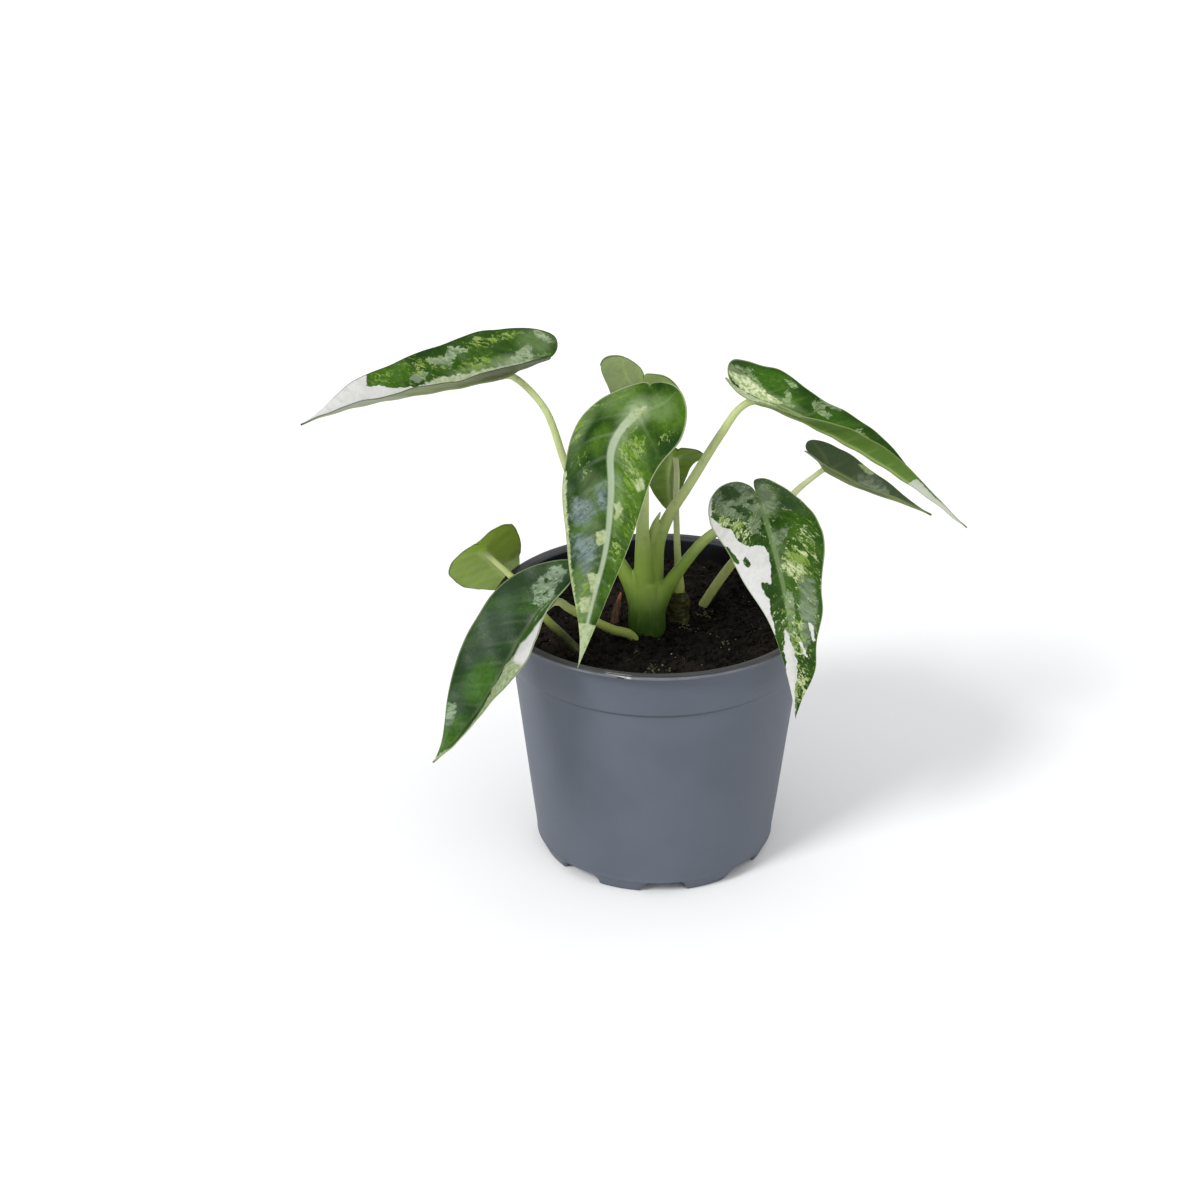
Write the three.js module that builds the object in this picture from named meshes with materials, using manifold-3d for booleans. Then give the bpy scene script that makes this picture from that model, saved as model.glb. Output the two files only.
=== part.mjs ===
import * as THREE from 'three';
import { mergeVertices } from 'three/addons/utils/BufferGeometryUtils.js';
import Module from 'manifold-3d';

// A variegated arrow-leaved alocasia in a thin grey nursery pot. Millimetres and degrees, +Z up.
// Every place below is measured from the middle of the pot's base. The front is -Y.
// At the end the plant is moved so that the origin is the middle of its footprint on the ground.

const wasm = await Module();
wasm.setup();

const CLEARANCE = 0.3;
const LEAF_CLEARANCE = 0.42;
const POT_CLEARANCE = 0.45;

const POT = {
  height: 98,
  rimRadius: 60,
  rimInside: 56.4,
  rimThickness: 1.2,
  bandTop: 56,
  bandBottom: 54.4,
  stepHeight: 80,
  stepDrop: 1.2,
  wallTop: 53,
  wallBottom: 44.9,
  wallFoot: 11,
  creaseRadius: 44.1,
  creaseHeight: 5.2,
  footRadius: 42,
  footWidth: 2.4,
  floorUnder: 5,
  wall: 1,
  segments: 64,
};

const NOTCH = { count: 8, firstAngle: -84.8, widthAngle: 24.5, height: 4.6, slope: 3 };
const DRAIN = { count: 8, radius: 3, ring: 35.5, segments: 14 };
const SOIL = { level: 91, rise: 0.9, segments: 48, rings: 8 };

const COLOURS = {
  pot: 0x6d737d,
  soil: 0x2a211c,
  stalk: 0x8a9c4d,
  shoot: 0x5d8040,
  corm: 0x4a3524,
  drySheath: 0x8f5a45,
  leaf: 0x3f6b2c,
  leafUnder: 0x5c7a42,
};

// Stalks: the points along each one's line and its radius at each, from the root up.
const STALK_SIDES = 8;
const STALK_STEPS = 14;

const SHOOT = {
  stem: { points: [[-3.4, -8, 77], [-3.4, -8, 92], [-3.4, -8, 101], [-3.4, -7.5, 110]],
    radii: [5.2, 6.9, 6.8, 5.2] },
  sheathTip: { points: [[-2.4, -5.5, 118], [-1.2, -5.2, 130], [1.2, -5, 136.4]], radii: [2.2, 1.4, 0.4] },
  left: { points: [[-5, -8, 97], [-8.4, -8, 107], [-13.8, -7.8, 118], [-21.6, -7, 133], [-31.4, -6, 151.3],
    [-40.4, -4, 175.8]], radii: [4.6, 3.4, 2.4, 1.6, 1.5, 1.3], leaf: 'leaf_left' },
  front: { points: [[-4, -8.5, 100], [-4.8, -9, 116], [-5.2, -9.6, 131], [-5, -11, 151], [-5.6, -14, 168]],
    radii: [4.4, 3.4, 2.4, 1.9, 1.6], leaf: 'leaf_front' },
  back: { points: [[-4, -6.5, 100], [-4.6, -4, 114], [-5, -1.6, 128], [-5.3, 1, 146], [-5.4, 3.4, 163]],
    radii: [4.2, 3, 2.1, 1.8, 1.4], leaf: 'leaf_back' },
  right: { points: [[-1.6, -6.5, 99], [-0.9, -5.6, 113], [0.2, -4.6, 124], [4.4, -2.6, 134.2],
    [10.5, -0.6, 143.6], [22, 2, 163], [28.8, 3.4, 172.9]], radii: [4.2, 3.4, 2.8, 2.1, 1.8, 1.6, 1.4],
  leaf: 'leaf_right' },
  rightLow: { points: [[-1.5, -9, 97], [3.2, -9.8, 107.5], [8.6, -11, 116.9], [17.7, -12.6, 129.5],
    [28.5, -13, 136.8]], radii: [4.2, 2.9, 2.2, 1.9, 1.8], leaf: 'leaf_right_low' },
};

const SINGLE_STALKS = {
  stalk_back_small: { points: [[7.8, 0.2, 98], [7.9, 0.8, 104], [7.8, 2.4, 110], [7.3, 6, 118],
    [6.8, 11, 132], [6.8, 13.5, 145]], radii: [2.2, 2.3, 1.4, 1.2, 1.1, 1], leaf: 'leaf_back_small' },
  stalk_right_small: { points: [[11.5, 10, 79], [16.9, 11, 90.7], [22.9, 12, 100.7], [28.3, 13.2, 108.3],
    [43, 18, 125], [51, 21, 133.6], [57, 23.3, 138]], radii: [1.8, 1.8, 1.8, 1.7, 1.4, 1.2, 1],
  leaf: 'leaf_right_small' },
  stalk_left_low: { points: [[-6.4, -15.8, 77], [-6.8, -16.4, 88], [-9.4, -17.6, 93.2], [-15.3, -21, 96.8],
    [-23, -28.5, 104.5], [-30.6, -37, 113.2], [-33.6, -43.2, 118.6]],
  radii: [1.8, 1.8, 1.8, 1.7, 1.6, 1.5, 1.4], leaf: 'leaf_left_low' },
  stalk_left_small: { points: [[-21, -28, 79], [-27, -28, 90.5], [-33, -26, 96.5], [-39.4, -23, 102],
    [-50.5, -15, 113], [-57.6, -10.5, 118]], radii: [1.8, 1.8, 1.7, 1.5, 1.2, 1], leaf: 'leaf_left_small' },
};

const CORM = {
  centre: [7.7, 0.2],
  profile: [[2.4, 83.4], [4, 86], [4.4, 90], [4, 93.5], [4.3, 96.5], [3.9, 99.4], [3, 101.6]],
  lump: 0.5,
  segments: 14,
};

const DRY_SHEATH = { points: [[-15.3, -5, 84], [-15, -5, 92], [-14.2, -5, 98], [-12.9, -5, 104]],
  radii: [1.4, 1.7, 1.4, 0.5], flat: 0.45, turn: 20 };

// Leaves. path is the midrib from the stalk to the tip as a cubic curve's four control points; face is
// the way that the upper side looks at the two ends. Left and right are as seen from above, tip ahead:
// back is how far the lobe reaches behind the stalk, widest where the half is widest, lobe its half
// width there, blade the half width that the long taper starts from. fold is how far the half is lifted
// from flat, from base to tip, curl how much more it turns by its margin, and wave the margin's swing.
// bumps widen or narrow the half: each is a place from 0 at the widest to 1 at the tip, a size, a reach.
// lift is how far the lobes have curved up at liftReach behind the stalk. sway moves the midrib to the
// left between margins that stay, fully from swayFrom on: each is a distance, a size and a reach.
// Within level of the midrib's line the sheet is thickened straight along its face, so that the folded
// halves keep clear of each other.
const LEAF = {
  lobeRows: 7, bladeRows: 14, columns: 3, thickness: 0.8, rib: 0.8, liftReach: 10, level: 2, swayFrom: 8,
};

const HALF = {
  lobe: 15, back: 12, widest: 4, blade: 12, shoulder: 0.2, power: 2.2, taper: 1.5, skew: 1.5,
  fold: [10, 10], curl: -10, wave: 0.5, waves: 2, phase: 0, bumps: [],
};

const LEAVES = {
  leaf_left: {
    path: [[-52, -2, 187.9], [-76, -6, 181], [-101, -10, 182.2], [-125, -14, 172.5]],
    face: [[0, -0.15, 1], [0, -0.15, 1]],
    sinus: 8,
    left: { lobe: 15.4, back: 15, widest: 8, blade: 14, power: 3.2, taper: 2.1, fold: [38, 38], curl: 0,
      wave: 0.5, waves: 3 },
    right: { lobe: 17.5, back: 19, widest: 12, blade: 15.5, power: 3.6, taper: 2.1, fold: [40, 40], curl: 0,
      wave: 0.5, waves: 3, bumps: [[0.4, -1.4, 0.2]] },
  },
  leaf_front: {
    path: [[-8, -16, 179.5], [-17, -32, 168], [-19, -50, 138], [-27, -62, 102]],
    face: [[-0.1, -0.7, 0.7], [0.15, -0.95, 0.2]],
    sinus: 7.5,
    sway: [[16, -2.9, 10], [50, 2, 18]],
    left: { lobe: 19.4, back: 15, widest: 5, blade: 13, shoulder: 0.14, power: 2.4, taper: 1.3, fold: [8, 8],
      curl: -12, bumps: [[0.7, -0.9, 0.2]] },
    right: { lobe: 17.5, back: 12, widest: 16, blade: 17, shoulder: 0.14, power: 1.9, taper: 1.9, skew: 3.6,
      fold: [8, 8], curl: -12, bumps: [[0.24, 1.1, 0.14], [0.6, 1.5, 0.2]] },
  },
  leaf_back: {
    path: [[-6, 5, 178], [-8, 13, 160], [-14, 24.5, 145], [-17, 36, 129.5]],
    face: [[0.27, 0.81, 0.52], [0.27, 0.81, 0.52]],
    sinus: 7,
    left: { lobe: 16.5, back: 14, widest: -6, blade: 10, skew: 1, bumps: [[0.12, -1.2, 0.12]] },
    right: { lobe: 14.8, back: 10.5, widest: 1, blade: 8, shoulder: 0.17 },
  },
  leaf_back_small: {
    path: [[6.5, 15, 150], [4, 32, 137], [5, 46, 120], [6, 58, 105.5]],
    face: [[0.14, 0.7, 0.7], [0.14, 0.7, 0.7]],
    sinus: 5,
    left: { lobe: 12, back: 8.4, blade: 11.6, power: 3, taper: 1.3 },
    right: { lobe: 10.3, back: 10, widest: 0, blade: 7, shoulder: 0.14 },
  },
  leaf_right: {
    path: [[33.5, 4, 176.8], [57, -1, 168.9], [83, -11, 157.5], [109, -18, 137]],
    face: [[0.2, -0.1, 1], [0.25, 0.5, 1]],
    sinus: 6,
    lift: 2.8,
    left: { lobe: 17.6, back: 12.5, widest: 3, blade: 13, shoulder: 0.1, power: 2.4, taper: 1.9,
      fold: [16, 36, 42, 42], curl: 0, wave: 0.6,
      bumps: [[0.22, -0.8, 0.06], [0.44, 1.8, 0.16], [0.76, -2.1, 0.1]] },
    right: { lobe: 11.2, back: 11.5, widest: 6, blade: 10.2, power: 2.4, taper: 1.6,
      fold: [20, 22, 52, 58, 54, 50], curl: 0 },
  },
  leaf_right_small: {
    path: [[61.5, 25, 141.3], [73, 22, 133.4], [88, 19, 132.2], [100, 16, 126.5]],
    face: [[0.2, -0.3, 1], [0.3, -0.2, 1]],
    sinus: 4,
    left: { lobe: 9, back: 11, blade: 9.5, power: 2, taper: 2, fold: [30, 30], curl: 0 },
    right: { lobe: 6.4, back: 10, blade: 7.2, power: 2, taper: 2, fold: [42, 42], curl: 0 },
  },
  leaf_right_low: {
    path: [[37, -12, 140.5], [41.5, -35, 135.5], [50, -49, 106.5], [49, -54, 79.5]],
    face: [[0.1, -0.6, 0.8], [0.1, -0.95, 0.2]],
    sinus: 5,
    left: { lobe: 18.4, back: 19, widest: 14, blade: 16, power: 1.6, taper: 1.2, skew: 2.4, fold: [5, 5],
      curl: -12, bumps: [[0.14, 0.6, 0.12], [0.45, 1.3, 0.1], [0.76, 2.4, 0.12]] },
    right: { lobe: 19.6, back: 18, blade: 13, shoulder: 0.19, power: 1.25, taper: 1.1, fold: [5, 5],
      curl: -12, bumps: [[0.3, 3.3, 0.17]] },
  },
  leaf_left_low: {
    path: [[-36.4, -47, 121.5], [-50, -54.5, 109.5], [-55.5, -72, 91], [-76.5, -78, 74]],
    face: [[-0.5, -0.4, 0.8], [-0.5, -0.6, 0.5]],
    sinus: 9,
    left: { lobe: 9, back: 11.5, widest: 3, blade: 17, shoulder: 0.25, fold: [26, 36, 34], curl: 0,
      wave: 2.4, waves: 1.3, phase: 1.85, bumps: [[0.4, 1, 0.12], [0.72, 3.2, 0.15]] },
    right: { lobe: 17.6, back: 16, widest: 13, blade: 19.5, skew: 2.8, fold: [30, 30], curl: 0,
      bumps: [[0.72, 1.6, 0.2]] },
  },
  leaf_left_small: {
    path: [[-62.6, -8, 122], [-58.6, 13, 106.6], [-58.6, 33, 93.5], [-51.6, 52, 75]],
    face: [[-0.62, 0.51, 0.59], [-0.6, 0.61, 0.52]],
    sinus: 9.4,
    left: { lobe: 15.6, back: 11.5, widest: 7, blade: 16.5, bumps: [[0.6, 1.2, 0.15]] },
    right: { lobe: 14, back: 10.2, widest: 6, blade: 13.4 },
  },
};

const radians = THREE.MathUtils.degToRad;
const vector = (p) => new THREE.Vector3(...p);

// A closed geometry as a solid for joining and cutting.
function solidOf(geometry) {
  const plain = geometry.clone();
  plain.deleteAttribute('normal');
  plain.deleteAttribute('uv');
  const merged = mergeVertices(plain, 1e-4);
  const mesh = new wasm.Mesh({
    numProp: 3,
    vertProperties: new Float32Array(merged.attributes.position.array),
    triVerts: new Uint32Array(merged.index.array),
  });
  return new wasm.Manifold(mesh);
}

function geometryOf(solid) {
  const mesh = solid.getMesh();
  const geometry = new THREE.BufferGeometry();
  geometry.setAttribute('position', new THREE.BufferAttribute(new Float32Array(mesh.vertProperties), 3));
  geometry.setIndex(new THREE.BufferAttribute(new Uint32Array(mesh.triVerts), 1));
  return geometry;
}

function largestPiece(solid) {
  const pieces = solid.decompose();
  return pieces.reduce((best, piece) => (piece.volume() > best.volume() ? piece : best));
}

// A closed skin over rings of points, all with the same number of points, with a fan over each end.
function skin(rings) {
  const sides = rings[0].length;
  const centre = (ring) => ring.reduce((sum, p) => sum.add(p), new THREE.Vector3()).divideScalar(sides);
  const points = [...rings.flat(), centre(rings[0]), centre(rings.at(-1))];
  const first = points.length - 2;
  const last = points.length - 1;
  const top = (rings.length - 1) * sides;
  const index = [];
  for (let side = 0; side < sides; side += 1) {
    const next = (side + 1) % sides;
    index.push(first, next, side);
    index.push(last, top + side, top + next);
    for (let ring = 0; ring < rings.length - 1; ring += 1) {
      const low = ring * sides;
      const high = low + sides;
      index.push(low + side, low + next, high + next);
      index.push(low + side, high + next, high + side);
    }
  }
  const geometry = new THREE.BufferGeometry().setFromPoints(points);
  geometry.setIndex(index);
  return geometry;
}

// A tapering stalk along a smooth curve. flat squeezes its section to a strip, turned about its line.
function stalk({ points, radii, flat = 1, turn = 0 }, grow = 0) {
  const curve = new THREE.CatmullRomCurve3(points.map(vector));
  const frames = curve.computeFrenetFrames(STALK_STEPS);
  const rings = [];
  for (let step = 0; step <= STALK_STEPS; step += 1) {
    const u = step / STALK_STEPS;
    const knot = curve.getUtoTmapping(u) * (radii.length - 1);
    const below = Math.min(Math.floor(knot), radii.length - 2);
    const radius = THREE.MathUtils.lerp(radii[below], radii[below + 1], knot - below) + grow;
    const ends = step === 0 ? -grow : (step === STALK_STEPS ? grow : 0);
    const centre = curve.getPointAt(u).addScaledVector(frames.tangents[step], ends);
    const ring = [];
    for (let side = 0; side < STALK_SIDES; side += 1) {
      const angle = 2 * Math.PI * side / STALK_SIDES + radians(turn);
      const point = centre.clone();
      point.addScaledVector(frames.normals[step], radius * Math.cos(angle));
      point.addScaledVector(frames.binormals[step], (radius * flat + (1 - flat) * grow) * Math.sin(angle));
      ring.push(point);
    }
    rings.push(ring);
  }
  return solidOf(skin(rings));
}

// The pot's outline from the foot's outer edge up the outside, over the rim and down the inside.
function potOutside() {
  const rimUnder = POT.height - POT.rimThickness;
  return [[POT.footRadius, 0], [POT.creaseRadius, POT.creaseHeight], [POT.wallBottom, POT.wallFoot],
    [POT.wallTop, POT.stepHeight - POT.stepDrop], [POT.bandBottom, POT.stepHeight], [POT.bandTop, rimUnder],
    [POT.rimRadius, rimUnder], [POT.rimRadius, POT.height]];
}

function potInside() {
  return [[POT.rimInside, POT.height], [POT.bandTop - POT.wall, POT.height - POT.rimThickness],
    [POT.bandBottom - POT.wall, POT.stepHeight + 0.4],
    [POT.wallTop - POT.wall, POT.stepHeight - POT.stepDrop], [POT.wallBottom - POT.wall, POT.wallFoot],
    [POT.creaseRadius - POT.wall, POT.floorUnder + POT.wall]];
}

function lathe(profile, segments) {
  const geometry = new THREE.LatheGeometry(profile.map(([r, z]) => new THREE.Vector2(r, z)), segments);
  geometry.rotateX(Math.PI / 2);
  return solidOf(geometry);
}

function potSolid() {
  const footInner = POT.footRadius - POT.footWidth;
  const profile = [[0, POT.floorUnder], [footInner, POT.floorUnder], [footInner, 0], ...potOutside(),
    ...potInside(), [0, POT.floorUnder + POT.wall]];
  let pot = lathe(profile, POT.segments);
  const reach = POT.footRadius * Math.sin(radians(NOTCH.widthAngle / 2));
  const gate = new THREE.Shape([[-reach, -1], [reach, -1], [reach, 0], [reach - NOTCH.slope, NOTCH.height],
    [NOTCH.slope - reach, NOTCH.height], [-reach, 0]].map(([x, z]) => new THREE.Vector2(x, z)));
  for (let notch = 0; notch < NOTCH.count; notch += 1) {
    const cutter = new THREE.ExtrudeGeometry(gate, { depth: 3 * POT.footWidth, bevelEnabled: false });
    cutter.rotateX(Math.PI / 2);
    cutter.translate(0, -footInner + POT.footWidth, 0);
    cutter.rotateZ(radians(90 + NOTCH.firstAngle + 360 * notch / NOTCH.count));
    pot = pot.subtract(solidOf(cutter));
  }
  for (let hole = 0; hole < DRAIN.count; hole += 1) {
    const cutter = new THREE.CylinderGeometry(DRAIN.radius, DRAIN.radius, 4 * POT.wall, DRAIN.segments);
    cutter.rotateX(Math.PI / 2);
    cutter.translate(DRAIN.ring, 0, POT.floorUnder + POT.wall / 2);
    cutter.rotateZ(radians(NOTCH.firstAngle + 360 * (hole + 0.5) / DRAIN.count));
    pot = pot.subtract(solidOf(cutter));
  }
  return pot;
}

// The soil's height: low lumps, and a slight dish towards the pot's wall.
function soilHeight(x, y) {
  const lumps = Math.sin(0.21 * x + 1) * Math.cos(0.17 * y) + 0.7 * Math.sin(0.11 * x - 0.29 * y + 2)
    + 0.5 * Math.cos(0.37 * x + 0.31 * y);
  return SOIL.level + SOIL.rise * lumps - 1.2 * (Math.hypot(x, y) / POT.bandTop) ** 4;
}

function ringAt(radius, heightAt) {
  const ring = [];
  for (let side = 0; side < SOIL.segments; side += 1) {
    const angle = 2 * Math.PI * side / SOIL.segments;
    const x = radius * Math.cos(angle);
    const y = radius * Math.sin(angle);
    ring.push(new THREE.Vector3(x, y, heightAt(x, y)));
  }
  return ring;
}

// The soil fills the pot inside its wall. stands are cut out of it where the stems and the corm stand.
function soilSolid(stands) {
  const [floor, ...wall] = potInside().reverse().slice(0, 4);
  const [bandRadius, bandHeight] = wall.at(-1);
  const slope = (POT.bandTop - POT.bandBottom) / (POT.height - POT.stepHeight);
  const topRadius = bandRadius + slope * (SOIL.level - 3 - bandHeight) - POT_CLEARANCE;
  const rings = [ringAt(floor[0] - 2 * POT_CLEARANCE, () => floor[1] + POT_CLEARANCE)];
  for (const [radius, height] of wall) {
    rings.push(ringAt(radius - POT_CLEARANCE, () => height));
  }
  for (let ring = 0; ring < SOIL.rings; ring += 1) {
    rings.push(ringAt(topRadius * (1 - ring / SOIL.rings), soilHeight));
  }
  let soil = solidOf(skin(rings));
  for (const stand of stands) {
    soil = soil.subtract(stand);
  }
  return largestPiece(soil);
}

function cormSolid(grow = 0) {
  const [x, y] = CORM.centre;
  const rings = CORM.profile.map(([radius, height], level) => {
    const ring = [];
    for (let side = 0; side < CORM.segments; side += 1) {
      const angle = 2 * Math.PI * side / CORM.segments;
      const lump = CORM.lump * Math.sin(3 * angle + 1.7 * level) * Math.cos(2 * angle - level);
      const reach = radius + grow + lump;
      ring.push(new THREE.Vector3(x + reach * Math.cos(angle), y + reach * Math.sin(angle), height));
    }
    return ring;
  });
  rings[0].forEach((point) => { point.z -= grow; });
  rings.at(-1).forEach((point) => { point.z += grow; });
  return solidOf(skin(rings));
}

// A value from an evenly spaced list, at 0 to 1 along it.
function along(list, t) {
  const knot = THREE.MathUtils.clamp(t, 0, 1) * (list.length - 1);
  const below = Math.min(Math.floor(knot), list.length - 2);
  return THREE.MathUtils.lerp(list[below], list[below + 1], knot - below);
}

function bumpAt([spot, size, reach], place) {
  return size * Math.exp(-(((place - spot) / reach) ** 2));
}

// The midrib's point and axes at a distance from the stalk: ahead, to the left and up from the face.
function midribOf({ path, face, lift = 0, sway = [] }) {
  const curve = new THREE.CubicBezierCurve3(...path.map(vector));
  const length = curve.getLength();
  const faces = face.map((f) => vector(f).normalize());
  const swayAt = (distance) => sway.reduce((sum, bump) => sum + bumpAt(bump, distance), 0)
    * THREE.MathUtils.smoothstep(distance, 0, LEAF.swayFrom);
  const at = (distance) => {
    const t = THREE.MathUtils.clamp(distance / length, 0, 1);
    const ahead = curve.getTangentAt(t);
    const point = curve.getPointAt(t).addScaledVector(ahead, distance - t * length);
    const up = faces[0].clone().lerp(faces[1], t);
    up.addScaledVector(ahead, -up.dot(ahead)).normalize();
    const left = up.clone().cross(ahead);
    point.addScaledVector(up, lift * (Math.min(distance, 0) / LEAF.liftReach) ** 2);
    point.addScaledVector(left, swayAt(distance));
    return { point, ahead, up, left };
  };
  return { at, length, swayAt };
}

function halfWidth(half, t) {
  const blade = half.blade * (1 - t ** half.power) ** half.taper;
  const bumps = half.bumps.reduce((sum, bump) => sum + bumpAt(bump, t), 0);
  const lobe = (half.lobe - half.blade) * Math.exp(-((t / half.shoulder) ** 2));
  return blade + lobe + bumps * (1 - t ** 8);
}

// The margin of one half as [distance along, distance across]: round its lobe, then on to the tip.
function marginOf(half, sinus, length) {
  const margin = [];
  for (let row = 0; row < LEAF.lobeRows; row += 1) {
    const angle = Math.PI * (1 - row / LEAF.lobeRows);
    const bulge = Math.sin(angle);
    const inside = angle > Math.PI / 2;
    const start = inside ? -sinus : half.widest;
    margin.push([start - (half.back + start) * bulge, half.lobe * ((1 + Math.cos(angle)) / 2) ** half.skew]);
  }
  for (let row = 0; row <= LEAF.bladeRows; row += 1) {
    const t = row / LEAF.bladeRows;
    margin.push([half.widest + t * (length - half.widest), halfWidth(half, t)]);
  }
  return margin;
}

// A point of one half, side 1 for left and -1 for right, where its margin is width away.
function bladePoint(midrib, half, side, distance, across, width) {
  const t = THREE.MathUtils.clamp(distance / midrib.length, 0, 1);
  const frame = midrib.at(distance);
  const share = across / width;
  const fold = radians(along(half.fold, t));
  const lean = fold + radians(half.curl) * share / 2;
  const swing = half.wave * Math.sin(2 * Math.PI * half.waves * t + half.phase);
  const lift = across * Math.sin(lean) + swing * share ** 2 * Math.min(1, width / 8);
  const point = frame.point.addScaledVector(frame.left, side * across * Math.cos(lean));
  return point.addScaledVector(frame.up, lift);
}

// A blade's solid: one waved sheet, thickened alike to both sides, with a slight rib along the midrib.
function bladeSolid(leaf, grow = 0) {
  const midrib = midribOf(leaf);
  const points = [];
  const thick = [];
  const faces = [];
  const sheet = [];
  const rows = LEAF.lobeRows + LEAF.bladeRows;
  const columns = LEAF.columns;
  const centreLine = [];
  const put = (point, half, distance, across) => {
    points.push(point);
    thick.push(half);
    faces.push({ up: midrib.at(distance).up, share: Math.max(0, 1 - across / LEAF.level) });
    return points.length - 1;
  };
  const halves = { 1: { ...HALF, ...leaf.left }, [-1]: { ...HALF, ...leaf.right } };
  const inner = (row) => -leaf.sinus + (midrib.length + leaf.sinus) * (row / rows) ** 1.35;
  for (let row = 0; row <= rows; row += 1) {
    const distance = inner(row);
    const rib = LEAF.rib * (1 - THREE.MathUtils.clamp(distance / midrib.length, 0, 1));
    centreLine.push(put(midrib.at(distance).point, (LEAF.thickness + rib) / 2, distance, 0));
  }
  const outline = { 1: [], [-1]: [] };
  for (const side of [1, -1]) {
    const half = halves[side];
    const margin = marginOf(half, leaf.sinus, midrib.length);
    const grid = [];
    for (let row = 0; row <= rows; row += 1) {
      const line = [centreLine[row]];
      const [edge, reach] = margin[row];
      const width = reach - side * midrib.swayAt(edge);
      const atEnd = row === 0 || row === rows;
      for (let column = 1; column <= columns; column += 1) {
        const share = column / columns;
        const distance = THREE.MathUtils.lerp(inner(row), edge, share);
        if (atEnd) {
          line.push(centreLine[row]);
        } else {
          const across = width * share;
          const point = bladePoint(midrib, half, side, distance, across, Math.max(width, 2));
          line.push(put(point, LEAF.thickness / 2, distance, across));
        }
      }
      grid.push(line);
      outline[side].push(line[columns]);
    }
    for (let row = 0; row < rows; row += 1) {
      for (let column = 0; column < columns; column += 1) {
        const [a, b] = [grid[row][column], grid[row][column + 1]];
        const [c, d] = [grid[row + 1][column + 1], grid[row + 1][column]];
        const corners = side === 1 ? [[a, c, b], [a, d, c]] : [[a, b, c], [a, c, d]];
        sheet.push(...corners.filter(([p, q, r]) => p !== q && q !== r && r !== p));
      }
    }
  }
  const normals = points.map(() => new THREE.Vector3());
  for (const [a, b, c] of sheet) {
    const normal = points[b].clone().sub(points[a]).cross(points[c].clone().sub(points[a]));
    [a, b, c].forEach((corner) => normals[corner].add(normal));
  }
  normals.forEach((normal, at) => normal.normalize().lerp(faces[at].up, faces[at].share).normalize());
  const raised = [1, -1].flatMap((way) => points.map((point, at) => point.clone()
    .addScaledVector(normals[at], way * (thick[at] + grow))));
  const under = points.length;
  const index = sheet.flatMap(([a, b, c]) => [a, b, c, under + a, under + c, under + b]);
  const loop = [...outline[-1], ...outline[1].slice(1, -1).reverse()];
  loop.forEach((corner, place) => {
    const next = loop[(place + 1) % loop.length];
    index.push(corner, under + corner, under + next, corner, under + next, next);
  });
  const geometry = new THREE.BufferGeometry().setFromPoints(raised);
  geometry.setIndex(index);
  return solidOf(geometry);
}

// A stalk's line ends just under its blade's base, where the blade is cut out of it with a clearance.
function lineToLeaf({ points, radii, leaf }) {
  const base = midribOf(LEAVES[leaf]).at(0);
  const top = base.point.clone().addScaledVector(base.up, -0.6).addScaledVector(base.ahead, 0.5);
  return { points: [...points, top.toArray()], radii: [...radii, radii.at(-1)] };
}

function stalkToLeaf(line) {
  return largestPiece(stalk(lineToLeaf(line)).subtract(bladeSolid(LEAVES[line.leaf], LEAF_CLEARANCE)));
}

function shootSolid() {
  const { stem, sheathTip, ...lines } = SHOOT;
  let shoot = stalk(stem).add(stalk(sheathTip));
  for (const line of Object.values(lines)) {
    shoot = shoot.add(stalkToLeaf(line));
  }
  return shoot;
}

const plant = new THREE.Group();

function place(name, solid, colour, roughness) {
  const material = new THREE.MeshStandardMaterial({ color: colour, roughness, metalness: 0 });
  const mesh = new THREE.Mesh(geometryOf(solid), material);
  mesh.name = name;
  plant.add(mesh);
}

const smallStalk = lineToLeaf(SINGLE_STALKS.stalk_back_small);
const stands = [stalk(SHOOT.stem, CLEARANCE), cormSolid(CLEARANCE), stalk(DRY_SHEATH, CLEARANCE)];
for (const [name, line] of Object.entries(SINGLE_STALKS)) {
  if (name !== 'stalk_back_small') {
    stands.push(stalk(lineToLeaf(line), CLEARANCE));
  }
}

place('pot', potSolid(), COLOURS.pot, 0.45);
place('soil', soilSolid(stands), COLOURS.soil, 0.95);
place('main_shoot', shootSolid(), COLOURS.shoot, 0.5);
for (const [name, line] of Object.entries(SINGLE_STALKS)) {
  place(name, stalkToLeaf(line), COLOURS.stalk, 0.5);
}
place('offset_corm', cormSolid().subtract(stalk(smallStalk, CLEARANCE)), COLOURS.corm, 0.85);
place('dry_sheath', stalk(DRY_SHEATH), COLOURS.drySheath, 0.8);
for (const [name, leaf] of Object.entries(LEAVES)) {
  const seenFromUnder = ['leaf_back', 'leaf_back_small', 'leaf_left_small'].includes(name);
  place(name, bladeSolid(leaf), seenFromUnder ? COLOURS.leafUnder : COLOURS.leaf, 0.4);
}

// The origin goes to the middle of the plant's footprint.
const middle = new THREE.Box3().setFromObject(plant).getCenter(new THREE.Vector3());
plant.position.set(-middle.x, -middle.y, 0);

export default plant;
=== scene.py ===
import math
import random
from types import SimpleNamespace

import bpy
import numpy as np
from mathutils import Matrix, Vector, noise


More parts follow.
